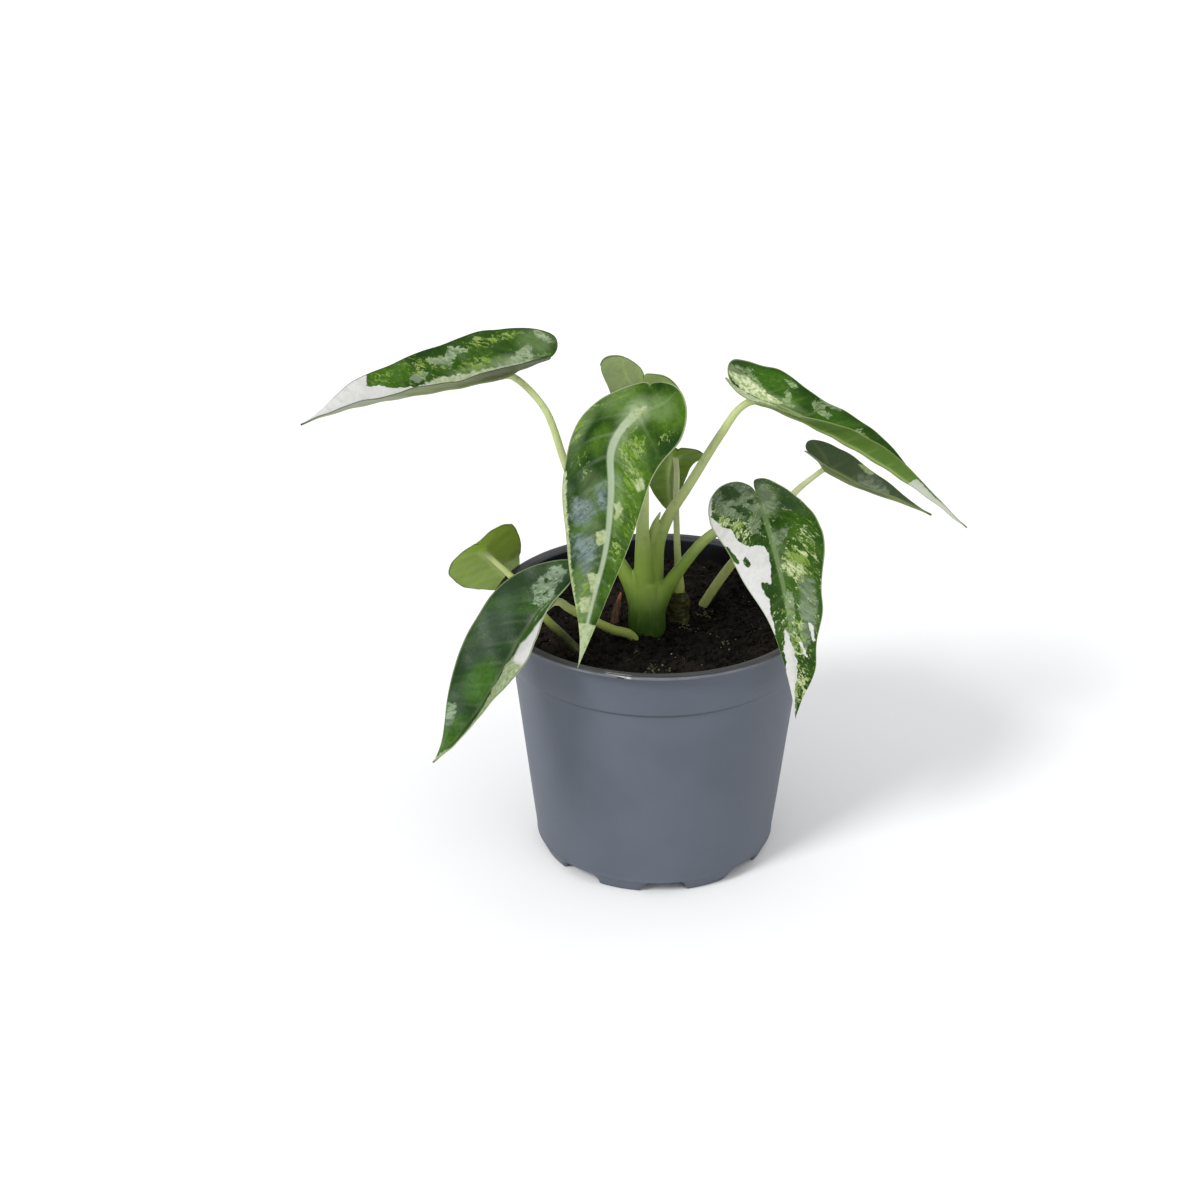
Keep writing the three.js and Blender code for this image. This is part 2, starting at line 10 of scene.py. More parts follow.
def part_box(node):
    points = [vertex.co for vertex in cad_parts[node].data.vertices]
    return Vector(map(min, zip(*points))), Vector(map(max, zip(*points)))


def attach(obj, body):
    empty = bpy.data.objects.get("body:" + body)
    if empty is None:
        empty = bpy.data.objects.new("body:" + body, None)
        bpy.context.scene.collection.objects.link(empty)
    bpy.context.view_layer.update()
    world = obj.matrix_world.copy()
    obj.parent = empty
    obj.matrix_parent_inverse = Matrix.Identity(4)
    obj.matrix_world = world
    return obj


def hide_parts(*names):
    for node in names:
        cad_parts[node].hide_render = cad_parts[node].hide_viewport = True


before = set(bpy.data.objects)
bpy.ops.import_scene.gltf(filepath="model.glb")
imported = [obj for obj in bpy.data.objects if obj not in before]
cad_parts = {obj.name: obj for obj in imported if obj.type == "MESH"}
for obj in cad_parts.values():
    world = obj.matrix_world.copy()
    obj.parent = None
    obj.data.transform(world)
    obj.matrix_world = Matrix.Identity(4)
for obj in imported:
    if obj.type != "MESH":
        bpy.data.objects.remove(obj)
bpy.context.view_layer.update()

# Everything is in millimetres from the middle of the pot's base, +Z up and the front at -Y.
POT_LOW, POT_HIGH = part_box("pot")
MIDDLE = np.array([(POT_LOW.x + POT_HIGH.x) / 2, (POT_LOW.y + POT_HIGH.y) / 2, 0.0])
rng = random.Random(7)


def metres(points):
    return np.asarray(points, float) / 1000 + MIDDLE


def unit(vectors):
    vectors = np.asarray(vectors, float)
    return vectors / np.maximum(np.linalg.norm(vectors, axis=-1, keepdims=True), 1e-12)


def smoothstep(low, high, value):
    t = np.clip((value - low) / (high - low), 0, 1)
    return t * t * (3 - 2 * t)


# Shader building.
class Tree:
    def __init__(self, name):
        self.material = bpy.data.materials.new(name)
        self.material.use_nodes = True
        self.nodes = self.material.node_tree.nodes
        self.links = self.material.node_tree.links
        self.nodes.clear()
        self.output = self.nodes.new("ShaderNodeOutputMaterial")

    def put(self, socket, value):
        if isinstance(value, bpy.types.NodeSocket):
            self.links.new(value, socket)
        elif isinstance(value, (tuple, list)) and len(value) == 3 and socket.type == "RGBA":
            socket.default_value = (*value, 1)
        else:
            socket.default_value = value

    def add(self, kind, inputs=(), **settings):
        node = self.nodes.new(kind)
        for key, value in settings.items():
            setattr(node, key, value)
        for key, value in dict(inputs).items():
            self.put(node.inputs[key], value)
        return node

    def math(self, operation, *values, clamp=False):
        return self.add("ShaderNodeMath", enumerate(values), operation=operation, use_clamp=clamp).outputs[0]

    def times(self, first, second, clamp=False):
        return self.math("MULTIPLY", first, second, clamp=clamp)

    def plus(self, first, second, clamp=False):
        return self.math("ADD", first, second, clamp=clamp)

    def minus(self, first, second):
        return self.math("SUBTRACT", first, second)

    def step(self, value, low, high, start=0.0, end=1.0):
        inputs = {"Value": value, "From Min": low, "From Max": high, "To Min": start, "To Max": end}
        return self.add("ShaderNodeMapRange", inputs, interpolation_type="SMOOTHSTEP").outputs[0]

    def mix(self, share, first, second):
        return self.add("ShaderNodeMix", {0: share, 6: first, 7: second}, data_type="RGBA").outputs[2]

    def noise(self, vector, scale, detail=3.0, roughness=0.55, distortion=0.0):
        inputs = {"Vector": vector, "Scale": scale, "Detail": detail, "Roughness": roughness,
                  "Distortion": distortion}
        return self.add("ShaderNodeTexNoise", inputs).outputs[0]

    def attribute(self, name):
        return self.add("ShaderNodeAttribute", attribute_name=name).outputs["Vector"]

    def split(self, vector):
        return self.add("ShaderNodeSeparateXYZ", {0: vector}).outputs

    def join(self, x, y, z):
        return self.add("ShaderNodeCombineXYZ", {0: x, 1: y, 2: z}).outputs[0]

    def stretch(self, vector, *scales):
        return self.join(*[self.times(part, scale) for part, scale in zip(self.split(vector), scales)])

    def position(self):
        return self.add("ShaderNodeTexCoord").outputs["Object"]

    def bump(self, height, distance, strength=1.0):
        inputs = {"Height": height, "Distance": distance, "Strength": strength}
        return self.add("ShaderNodeBump", inputs).outputs[0]

    def finish(self, **inputs):
        shader = self.add("ShaderNodeBsdfPrincipled")
        for key, value in inputs.items():
            self.put(shader.inputs[key.replace("_", " ")], value)
        self.links.new(shader.outputs[0], self.output.inputs[0])
        return self.material


def scaled(colour, factor):
    return tuple(factor * part for part in colour)


# Meshes.
def new_mesh(name, points, faces):
    mesh = bpy.data.meshes.new(name)
    mesh.from_pydata(metres(points).tolist(), [], [tuple(map(int, face)) for face in faces])
    return mesh


def new_object(name, data):
    made = bpy.data.objects.new(name, data)
    bpy.context.collection.objects.link(made)
    return made


def mesh_piece(name, points, faces, materials, slot, attributes=None, indices=None):
    mesh = new_mesh(name, points, faces)
    for key, values in (attributes or {}).items():
        add_field(mesh, key, values)
    for material in materials:
        mesh.materials.append(material)
    if indices is not None:
        mesh.polygons.foreach_set("material_index", np.asarray(indices, np.int32))
    mesh.polygons.foreach_set("use_smooth", [True] * len(mesh.polygons))
    mesh.validate()
    piece = new_object(name, mesh)
    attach(piece, "root")
    return piece


# Three numbers at each point, which the materials read.
def add_field(mesh, name, values):
    layer = mesh.attributes.new(name, "FLOAT_VECTOR", "POINT")
    layer.data.foreach_set("vector", np.asarray(values, np.float32).ravel())


def apply_modifiers(piece):
    bpy.context.view_layer.update()
    graph = bpy.context.evaluated_depsgraph_get()
    made = bpy.data.meshes.new_from_object(piece.evaluated_get(graph))
    piece.modifiers.clear()
    piece.data = made
    made.polygons.foreach_set("use_smooth", [True] * len(made.polygons))


def grid_faces(rows, columns, start=0, closed=False):
    r, c = np.meshgrid(np.arange(rows - 1), np.arange(columns - (0 if closed else 1)), indexing="ij")
    a = start + r * columns + c
    b = start + r * columns + (c + 1) % columns
    return np.stack([a, b, b + columns, a + columns], -1).reshape(-1, 4)


def face_list(rows, columns, start=0):
    return [tuple(face) for face in grid_faces(rows, columns, start, closed=True)]


# Triangles from a tip to a closed ring of points.
def fan(tip, start, sides, flip=False):
    order = -1 if flip else 1
    return [(tip, *(start + s, start + (s + 1) % sides)[::order]) for s in range(sides)]


def merged(parts):
    points, faces, start = [], [], 0
    for part_points, part_faces in parts:
        points.append(part_points)
        faces.extend([tuple(i + start for i in face) for face in part_faces])
        start += len(part_points)
    return np.vstack(points), faces


# Leaves: the same shapes as the solids, on a finer grid.
# A leaf's path is the midrib's four control points, face where its upper side looks at its two ends,
# sinus how far its halves are joined behind the stalk, lift how its lobes rise, and sway how the midrib
# bends sideways. Of each half, lobe and blade are widths, back and widest where the lobe ends and where
# it is widest, and shoulder, power, taper and skew shape the margin. fold and curl are in degrees, and
# wave, waves and phase ripple the margin. Each bump and bend is its place, size and reach.
LOBE_ROWS, BLADE_ROWS, COLUMNS, ROW_POWER = 44, 88, 26, 1.35
HALF = dict(lobe=15, back=12, widest=4, blade=12, shoulder=0.2, power=2.2, taper=1.5, skew=1.5,
            fold=[10, 10], curl=-10, wave=0.5, waves=2, phase=0, bumps=[], lobe_vein=True)
LEAVES = {
    "leaf_left": dict(
        path=[(-52, -2, 187.9), (-76, -6, 181), (-101, -10, 182.2), (-125, -14, 172.5)],
        face=[(0, -0.15, 1), (0, -0.15, 1)], sinus=8,
        left=dict(lobe=15.4, back=15, widest=8, blade=14, power=3.2, taper=2.1, fold=[38, 38], curl=0,
                  waves=3),
        right=dict(lobe=17.5, back=19, widest=12, blade=15.5, power=3.6, taper=2.1, fold=[40, 40],
                   curl=0, waves=3, bumps=[(0.4, -1.4, 0.2)])),
    "leaf_front": dict(
        path=[(-8, -16, 179.5), (-17, -32, 168), (-19, -50, 138), (-27, -62, 102)],
        face=[(-0.1, -0.7, 0.7), (0.15, -0.95, 0.2)], sinus=7.5, sway=[(16, -2.9, 10), (50, 2, 18)],
        left=dict(lobe=19.4, back=15, widest=5, blade=13, shoulder=0.14, power=2.4, taper=1.3,
                  fold=[8, 8], curl=-12, bumps=[(0.7, -0.9, 0.2)]),
        right=dict(lobe=17.5, back=12, widest=16, blade=17, shoulder=0.14, power=1.9, taper=1.9,
                   lobe_vein=False, skew=3.6, fold=[8, 8], curl=-12,
                   bumps=[(0.24, 1.1, 0.14), (0.6, 1.5, 0.2)])),
    "leaf_back": dict(
        path=[(-6, 5, 178), (-8, 13, 160), (-14, 24.5, 145), (-17, 36, 129.5)],
        face=[(0.27, 0.81, 0.52), (0.27, 0.81, 0.52)], sinus=7,
        left=dict(lobe=16.5, back=14, widest=-6, blade=10, skew=1, bumps=[(0.12, -1.2, 0.12)]),
        right=dict(lobe=14.8, back=10.5, widest=1, blade=8, shoulder=0.17)),
    "leaf_back_small": dict(
        path=[(6.5, 15, 150), (4, 32, 137), (5, 46, 120), (6, 58, 105.5)],
        face=[(0.14, 0.7, 0.7), (0.14, 0.7, 0.7)], sinus=5,
        left=dict(lobe=12, back=8.4, blade=11.6, power=3, taper=1.3),
        right=dict(lobe=10.3, back=10, widest=0, blade=7, shoulder=0.14)),
    "leaf_right": dict(
        path=[(33.5, 4, 176.8), (57, -1, 168.9), (83, -11, 157.5), (109, -18, 137)],
        face=[(0.2, -0.1, 1), (0.25, 0.5, 1)], sinus=6, lift=2.8,
        left=dict(lobe=17.6, back=12.5, widest=3, blade=13, shoulder=0.1, power=2.4, taper=1.9,
                  fold=[16, 36, 42, 42], curl=0, wave=0.6,
                  bumps=[(0.22, -0.8, 0.06), (0.44, 1.8, 0.16), (0.76, -2.1, 0.1)]),
        right=dict(lobe=11.2, back=11.5, widest=6, blade=10.2, power=2.4, taper=1.6,
                   fold=[20, 22, 52, 58, 54, 50], curl=0)),
    "leaf_right_small": dict(
        path=[(61.5, 25, 141.3), (73, 22, 133.4), (88, 19, 132.2), (100, 16, 126.5)],
        face=[(0.2, -0.3, 1), (0.3, -0.2, 1)], sinus=4,
        left=dict(lobe=9, back=11, blade=9.5, power=2, taper=2, fold=[30, 30], curl=0),
        right=dict(lobe=6.4, back=10, blade=7.2, power=2, taper=2, fold=[42, 42], curl=0)),
    "leaf_right_low": dict(
        path=[(37, -12, 140.5), (41.5, -35, 135.5), (50, -49, 106.5), (49, -54, 79.5)],
        face=[(0.1, -0.6, 0.8), (0.1, -0.95, 0.2)], sinus=5,
        left=dict(lobe=18.4, back=19, widest=14, blade=16, power=1.6, taper=1.2, skew=2.4,
                  fold=[5, 5], curl=-12, bumps=[(0.14, 0.6, 0.12), (0.45, 1.3, 0.1), (0.76, 2.4, 0.12)]),
        right=dict(lobe=19.6, back=18, blade=13, shoulder=0.19, power=1.25, taper=1.1, fold=[5, 5],
                   curl=-12, bumps=[(0.3, 3.3, 0.17)])),
    "leaf_left_low": dict(
        path=[(-36.4, -47, 121.5), (-50, -54.5, 109.5), (-55.5, -72, 91), (-76.5, -78, 74)],
        face=[(-0.5, -0.4, 0.8), (-0.5, -0.6, 0.5)], sinus=9,
        left=dict(lobe=9, back=11.5, widest=3, blade=17, shoulder=0.25, fold=[26, 36, 34], curl=0,
                  wave=2.4, waves=1.3, phase=1.85, bumps=[(0.4, 1, 0.12), (0.72, 3.2, 0.15)]),
        right=dict(lobe=17.6, back=16, widest=13, blade=19.5, skew=2.8, fold=[30, 30], curl=0,
                   bumps=[(0.72, 1.6, 0.2)])),
    "leaf_left_small": dict(
        path=[(-62.6, -8, 122), (-58.6, 13, 106.6), (-58.6, 33, 93.5), (-51.6, 52, 75)],
        face=[(-0.62, 0.51, 0.59), (-0.6, 0.61, 0.52)], sinus=9.4,
        left=dict(lobe=15.6, back=11.5, widest=7, blade=16.5, bumps=[(0.6, 1.2, 0.15)]),
        right=dict(lobe=14, back=10.2, widest=6, blade=13.4)),
}


def bump(place, at):
    spot, size, reach = place
    return size * np.exp(-(((at - spot) / reach) ** 2))


class Midrib:
    def __init__(self, leaf):
        self.path = np.array(leaf["path"], float)
        self.faces = unit(leaf["face"])
        self.lift = leaf.get("lift", 0)
        self.bends = leaf.get("sway", [])
        self.knots = np.linspace(0, 1, 401)
        steps = np.linalg.norm(np.diff(self.curve(self.knots), axis=0), axis=1)
        self.arc = np.concatenate([[0], np.cumsum(steps)])
        self.length = self.arc[-1]

    def curve(self, t):
        t = np.asarray(t)[..., None]
        a, b, c, d = self.path
        return (1 - t) ** 3 * a + 3 * (1 - t) ** 2 * t * b + 3 * (1 - t) * t * t * c + t ** 3 * d

    def slope(self, t):
        t = np.asarray(t)[..., None]
        a, b, c, d = self.path
        return unit((1 - t) ** 2 * (b - a) + 2 * (1 - t) * t * (c - b) + t * t * (d - c))

    def at(self, distance):
        distance = np.asarray(distance, float)
        share = np.clip(distance / self.length, 0, 1)
        t = np.interp(share * self.length, self.arc, self.knots)
        ahead = self.slope(t)
        point = self.curve(t) + ahead * (distance - share * self.length)[..., None]
        up = self.faces[0] + (self.faces[1] - self.faces[0]) * share[..., None]
        up = unit(up - ahead * np.sum(up * ahead, -1, keepdims=True))
        left = np.cross(up, ahead)
        point = point + up * (self.lift * (np.minimum(distance, 0) / 10) ** 2)[..., None]
        return point + left * self.sway(distance)[..., None], up, left

    def sway(self, distance):
        total = sum(bump(place, distance) for place in self.bends)
        return total * smoothstep(0, 8, distance)


def half_width(half, t):
    width = half["blade"] * (1 - t ** half["power"]) ** half["taper"]
    width = width + (half["lobe"] - half["blade"]) * np.exp(-((t / half["shoulder"]) ** 2))
    return width + sum(bump(place, t) for place in half["bumps"]) * (1 - t ** 8)


def margin_of(half, sinus, length):
    angle = math.pi * (1 - np.arange(LOBE_ROWS) / LOBE_ROWS)
    start = np.where(angle > math.pi / 2, -sinus, half["widest"])
    along = start - (half["back"] + start) * np.sin(angle)
    across = half["lobe"] * ((1 + np.cos(angle)) / 2) ** half["skew"]
    t = np.linspace(0, 1, BLADE_ROWS + 1)
    return (np.concatenate([along, half["widest"] + t * (length - half["widest"])]),
            np.concatenate([across, half_width(half, t)]))


# The side veins' spacing, and a distance beyond every blade's reach.
SPACING, FAR = 8.5, 99.0


# How far each place on a half laid flat is from the midrib and from the lobe's vein, negative inside
# them, and its place across the side veins, which run at each SPACING.
def vein_fields(half, along, across, length, look):
    t = np.clip(along / length, 0, 1)
    rib_half = look["rib"] / 2 * (1 - 0.8 * t)
    rib = np.where(along > 0, across, np.hypot(along, across)) - rib_half
    side = along - 0.5 * across - 0.02 * across ** 2 - 1.5
    lobe = np.full(along.shape, FAR)
    if half["lobe_vein"]:
        end = np.array([-0.82 * half["back"], 0.5 * half["lobe"]])
        bend = np.array([-0.2 * half["back"], 0.42 * half["lobe"]])
        for s in np.linspace(0, 1, 40):
            spot = 2 * (1 - s) * s * bend + s * s * end
            width = look["rib"] * 0.32 * (1 - 0.75 * s)
            lobe = np.minimum(lobe, np.hypot(along - spot[0], across - spot[1]) - width)
    return rib, lobe, side


# Soft round spots, from 0 to their strength.
def blob_field(blobs, along, across):
    field = np.zeros(along.shape)
    for a, b, ra, rb, strength in blobs:
        distance = np.hypot((along - a) / ra, (across - b) / rb)
        field = np.maximum(field, strength * (1 - smoothstep(0.5, 1.5, distance)))
    return field


# How far inside an outline each place is, in millimetres, and negative outside it.
def depth_in(outline, along, across):
    corners = np.array(outline, float)
    away = np.full(along.shape, FAR)
    inside = np.zeros(along.shape, bool)
    for (ax, ay), (bx, by) in zip(corners, np.roll(corners, -1, axis=0)):
        dx, dy = bx - ax, by - ay
        share = np.clip(((along - ax) * dx + (across - ay) * dy) / (dx * dx + dy * dy), 0, 1)
        away = np.minimum(away, np.hypot(along - ax - share * dx, across - ay - share * dy))
        if dy != 0:
            inside ^= ((ay > across) != (by > across)) & (along < ax + (across - ay) * dx / dy)
    return np.where(inside, away, -away)


def zone_field(outlines, holes, lowest, along, across):
    field = np.full(along.shape, lowest, float)
    for outline in outlines:
        field = np.maximum(field, depth_in(outline, along, across))
    for outline in holes:
        field = np.minimum(field, -depth_in(outline, along, across))
    return np.clip(field, -6, 6)


# Patches are outlined on the flat blade by (distance along the midrib, distance across it), left side
# positive. The holes are islands of green in the white and in the grey; on leaf_front the bluish grey
# patches are partly silvery variegation and partly a painted reflection of light on the gloss. fleck and
# brights are soft spots of light flecks and of livelier green, and the third list of soft spots is pale
# cloud, which on leaf_left_low is a painted bluish sheen; each spot is its place along and across, its two
# reaches and its strength. flecks is the density of flecks elsewhere, and greys the grey field's lowest
# value. ragged is how ragged the grey's borders are, grey_edge and white_edge how soft the borders are,
# and edge the colour of the blade's rim.
EDGE_STRENGTH = 0.7
LOOK = dict(
    seed=0, rib=3.0, rib_strength=0.8, vein_strength=0.4, rib_colour=(0.30, 0.37, 0.16),
    green=(0.025, 0.070, 0.006), bright=(0.07, 0.16, 0.014), glow_colour=(0.26, 0.34, 0.16),
    grey_colour=(0.15, 0.205, 0.12), creams=((0.19, 0.26, 0.09), (0.31, 0.37, 0.18)),
    fleck_colours=((0.115, 0.21, 0.018), (0.23, 0.31, 0.085)), edge=(0.22, 0.28, 0.10),
    under=(0.12, 0.21, 0.035), lobe_under=None, under_pale=0.9, ragged=6.0, grey_edge=0.3,
    white_edge=0.14, flecks=0.08, greys=-6.0, white=[], cream=[], grey=[], white_holes=[],
    grey_holes=[], fleck=[], brights=[], glows=[])
LOOKS = {
    "leaf_left": dict(
        seed=1, flecks=0.02, under_pale=0.5, rib_strength=0.35, vein_strength=0.08,
        edge=(0.035, 0.05, 0.02), green=(0.009, 0.036, 0.001), bright=(0.042, 0.115, 0.004),
        under=(0.19, 0.225, 0.105), creams=((0.27, 0.33, 0.17), (0.42, 0.46, 0.32)),
        lobe_under=(0.085, 0.105, 0.042), grey_colour=(0.19, 0.245, 0.145),
        white=[[(78, -8), (78, 8), (50, 10), (44, 5), (36, 1), (27.5, 0.5), (27.5, -2.2), (33, -2.4),
                (40.5, -3), (44, -4.5), (46, -5.5), (50, -6), (49.5, -10), (50, -14)]],
        cream=[[(30, -3), (24.5, -4), (17.5, -4), (10.5, -3.6), (3, -3.2), (-4.5, -2), (-11, -1.5),
                (-11, 0.5), (28, 0.8)]],
        grey=[[(5, -3), (4.5, -4.5), (0.5, -4), (-5, -6.5), (-8.5, -8), (-10, -6), (-9, -4), (-12, -3),
               (-14, -2), (-10.5, -1), (-2, 0), (4, 0)],
              [(28, -11.5), (25, -11), (21.5, -12), (19, -15), (15.5, -14.5), (13, -12), (15, -11.5),
               (19, -10), (19, -8.5), (20.5, -7), (22.5, -9), (25, -9), (27, -9.5)],
              [(35, -6.5), (31.5, -7.5), (28, -6), (30, -4.5), (32.5, -3.5), (35, -5)],
              [(-13, -12), (-17, -7.5), (-17.5, -6), (-15, -7), (-12, -10)]],
        fleck=[(45, -8, 5, 3.5, 0.35), (1, -13, 7, 1.8, 0.55), (12, -6, 7, 2.5, 0.5), (8, -14, 4, 2, 0.5),
               (30, -9, 8, 4, 0.3)],
        brights=[(15, -8, 14, 6, 0.5), (42, -8, 8, 5, 1.1), (-10, -12, 8, 5, 0.3)],
        glows=[(2, -3.5, 6, 3, 0.6), (12, -4, 7, 2, 0.45), (-12, -8, 6, 5, 0.3)]),
    "leaf_front": dict(
        seed=2, flecks=-0.05, ragged=7.0, grey_edge=2.2, rib_strength=0.85, vein_strength=0.14,
        rib_colour=(0.33, 0.40, 0.27), green=(0.007, 0.034, 0.001), bright=(0.068, 0.150, 0.010),
        grey_colour=(0.125, 0.165, 0.155), glow_colour=(0.22, 0.30, 0.14),
        edge=(0.36, 0.41, 0.22), creams=((0.24, 0.31, 0.12), (0.38, 0.43, 0.25)),
        cream=[[(8, -1), (2, -1), (-1.5, 1), (-2.5, 3), (1, 2.6), (6, 1.8), (12, 0.8), (12, -0.8)],
               [(27, -15.8), (40, -15), (50, -12.9), (60, -9.7), (70, -5.6), (80, -3), (80, -9), (60, -15),
                (40, -20), (27, -20)],
               [(78, -8), (77, 0), (78, 8), (97, 4), (97, -4)], [(35, 1.2), (34, 3), (37, 4.5), (40, 2)],
               [(26, 8), (24.5, 11), (28, 12), (29.5, 9)], [(45, -4.5), (44.5, -0.5), (49, -0.5), (50, -3)],
               [(60, -4), (59, 0), (66, 0.5), (66, -2)], [(69, -4.5), (68, -1), (73, 0), (74, -3)]],
        # The bluish grey patches on the right half are partly silvery variegation and partly a painted
        # reflection of light on the glossy blade.
        grey=[[(31.5, -5), (28, -2), (37.5, -1), (36.5, -4.5)],
              [(35.5, -13), (35, -8), (38, -5.5), (42, -6.5), (44, -11), (41, -13.2)],
              [(48.5, -11.5), (47.5, -6), (50, -3), (56, -2.5), (60, -4.5), (55, -9.5)]],
        fleck=[(15, 7, 6, 4.5, 0.6), (25, 8, 5, 4, 0.55), (7.5, 15.5, 3, 2, 0.5), (24, -10, 5, 3, 0.2),
               (36, 6, 10, 5, 0.25), (48, 4, 8, 4, 0.3), (70, -3, 8, 3, 0.45),
               (13, -14.5, 5, 3, 0.4), (2, -13, 5, 3, 0.3), (-4, -9, 4, 3, 0.3)],
        brights=[(24, 7, 16, 7, 1.0), (14, -5, 6, 3, 0.9), (38, 8, 10, 5, 0.7), (-4, 12, 9, 8, 1.1),
                 (-2, -7, 8, 6, 0.8), (6, -14, 7, 4, 0.55), (50, 5, 22, 6, 0.5), (64, -4, 12, 5, 0.5)],
        glows=[(1, 1, 7, 5, 0.9), (-4, 7, 5, 6, 0.4), (10, 1, 9, 3, 0.6), (-4, -9, 8, 5, 0.35),
               (45, -6, 5, 4, 0.3), (31, -7, 6, 4, 0.25), (60, -6, 6, 3, 0.3), (0, 0, 4.5, 3, 1.0),
               (12, -13, 8, 2.5, 0.45), (70, -3, 9, 4, 0.5), (34, 2.5, 10, 2, 0.35)]),
    "leaf_back": dict(
        # The underside colour is made lighter to stand in for light shining through the blade: painted
        # transmitted light over its own green.
        seed=3, flecks=-0.5, under=(0.245, 0.325, 0.11), edge=(0.16, 0.22, 0.07),
        grey_colour=(0.20, 0.235, 0.125),
        grey=[[(-14, 2), (-13, 15), (6, 18), (16, 12), (16, 3), (4, 2)]]),
    # The underside colour is made lighter to stand in for light shining through the blade: painted
    # transmitted light over its own green.
    "leaf_back_small": dict(seed=4, flecks=0.1, under=(0.20, 0.32, 0.048), edge=(0.05, 0.08, 0.02)),
    "leaf_right": dict(
        seed=5, flecks=-0.25, ragged=7.0, rib_strength=0.6, vein_strength=0.15, edge=(0.20, 0.26, 0.09),
        green=(0.010, 0.038, 0.001), bright=(0.040, 0.120, 0.004), under=(0.064, 0.120, 0.018),
        grey_colour=(0.19, 0.26, 0.12), lobe_under=(0.20, 0.26, 0.09),
        creams=((0.24, 0.34, 0.11), (0.68, 0.72, 0.48)),
        white=[[(64, -3.4), (70, -2.4), (76, -1.4), (80, -4), (92, -4), (92, 2), (80, 2), (62, 1)]],
        cream=[[(-12.5, 2), (-10.5, 5), (-6, 6.5), (-2, 5), (4, 3.8), (11, 2.2), (4, 0.3), (-5, 0.2)],
               [(-9, 5), (-5, 8), (-1, 7), (3, 4.3), (-3, 4.6)],
               [(-15, -0.8), (-16, -13), (-4, -14), (5, -9), (11, -3), (4, -0.8)]],
        grey=[[(-13, 2), (-12.5, 6), (-8.5, 10), (-4.5, 12.5), (-3.5, 10), (-0.5, 8.5), (1.5, 6.5),
               (3.5, 4.5), (6.5, 3), (11, 2), (0, 0)],
              [(9, 8), (10, 10), (12, 6.5), (14.5, 2.5), (11, 2), (10, 2.5)],
              [(7, 14), (9.5, 14.5), (11.5, 13), (13, 10), (11, 11)],
              [(19, 9), (21.5, 10.5), (24, 10.5), (24.5, 8), (27, 7.5), (26.5, 5), (23.5, 5.5), (21, 6.5)],
              [(19, 11), (23.5, 12), (29.5, 13), (29, 10.8), (23.5, 10.4)],
              [(36, 5), (39, 8), (42, 7), (39, 4)]],
        fleck=[(3, 11, 6, 3, 0.35), (13, 5, 5, 2.5, 0.25)],
        brights=[(30, 6, 12, 5, 0.5), (3, 11, 8, 5, 1.1), (9, 6, 7, 5, 0.9)],
        glows=[(-4, 4, 8, 3, 0.5), (10, 3, 8, 2, 0.4)]),
    "leaf_right_small": dict(
        seed=6, flecks=-0.3, green=(0.046, 0.072, 0.027), bright=(0.060, 0.090, 0.034), rib_strength=0.2,
        grey_colour=(0.115, 0.14, 0.09), vein_strength=0.08, edge=(0.14, 0.18, 0.07),
        under=(0.17, 0.21, 0.075), greys=-2.6,
        cream=[[(10, 7.2), (13.5, 9), (18, 7.5), (16.5, 5.5), (13, 6)]],
        grey=[[(12, 3.5), (15, 5), (18.5, 6.5), (25.5, 1.5), (22.5, -4), (15, -4), (13, 0)]]),
    "leaf_right_low": dict(
        seed=7, flecks=0.06, ragged=9.0, green=(0.010, 0.038, 0.002), bright=(0.042, 0.105, 0.006), rib=2.2,
        rib_strength=0.55, vein_strength=0.1, rib_colour=(0.17, 0.25, 0.10),
        grey_colour=(0.12, 0.165, 0.095), glow_colour=(0.14, 0.20, 0.09), edge=(0.30, 0.36, 0.18),
        white=[[(1, -18.8), (3.5, -17.6), (6.5, -16), (8, -13.5), (13, -12), (15.5, -9.5), (16, -7),
                (17, -3.2), (19, -2.5), (22.5, -2.5), (27.5, -3.5), (31, -4), (30, -5), (29.5, -7.5),
                (33.5, -7), (36, -5.8), (40.5, -6), (48.5, -5.5), (46, -9), (32, -14), (21.5, -19),
                (9, -23), (1, -23)],
               [(-12, -15.6), (-5, -17.2), (1, -18), (1, -23), (-12, -20)],
               [(46, -2), (52, -0.5), (59, 1), (65.5, 0.3), (68, -0.6), (78, -0.4), (78, -4), (66, -3.5),
                (59, -3), (54, -3.3)],
               [(51.5, 2), (54, 3), (57.5, 3.7), (58.5, 5.2), (55, 4), (52, 3)],
               [(44, 5.6), (47, 6.6), (52.5, 7), (52.5, 7.9), (47, 7.6)]],
        white_holes=[[(13.5, -18.5), (15, -15.8), (17.5, -14.8), (20.5, -13), (21.8, -13.6), (19.5, -16),
                      (17, -17)],
                     [(19, -11), (20, -10.3), (22.5, -9), (23.8, -10.5), (22.5, -11.8), (21, -12)]],
        grey=[[(-9, -16), (-12.5, -14.5), (-16, -11.5), (-17.5, -9.5), (-18.5, -7), (-18, -3),
               (-13.5, -1.5), (-5.5, -0.5), (-0.5, -0.5), (4.5, -1.5), (9.5, -3), (11.5, -6), (9.5, -7.5),
               (4.5, -6), (4, -9.5), (2.5, -12.5), (1, -17), (-1.5, -18)],
              [(-17, 5), (-12, 6), (-5.5, 5.5), (0.5, 4.5), (4, 1), (3, -0.5), (-4, 1), (-14, 2)],
              [(12, 0.5), (11, 4), (10, 8.5), (14, 5.5), (15.5, 3.5), (19, 1.5), (17.5, 0.5)],
              [(29, 7), (31.5, 10), (36, 11.5), (42, 10.5), (48, 8), (55, 4.5), (52, 3), (45, 3.5),
               (38, 4.5)],
              [(33, 1), (37, 2.2), (44, 1.8), (51, 1.6), (44, 0.4), (36, 0)]],
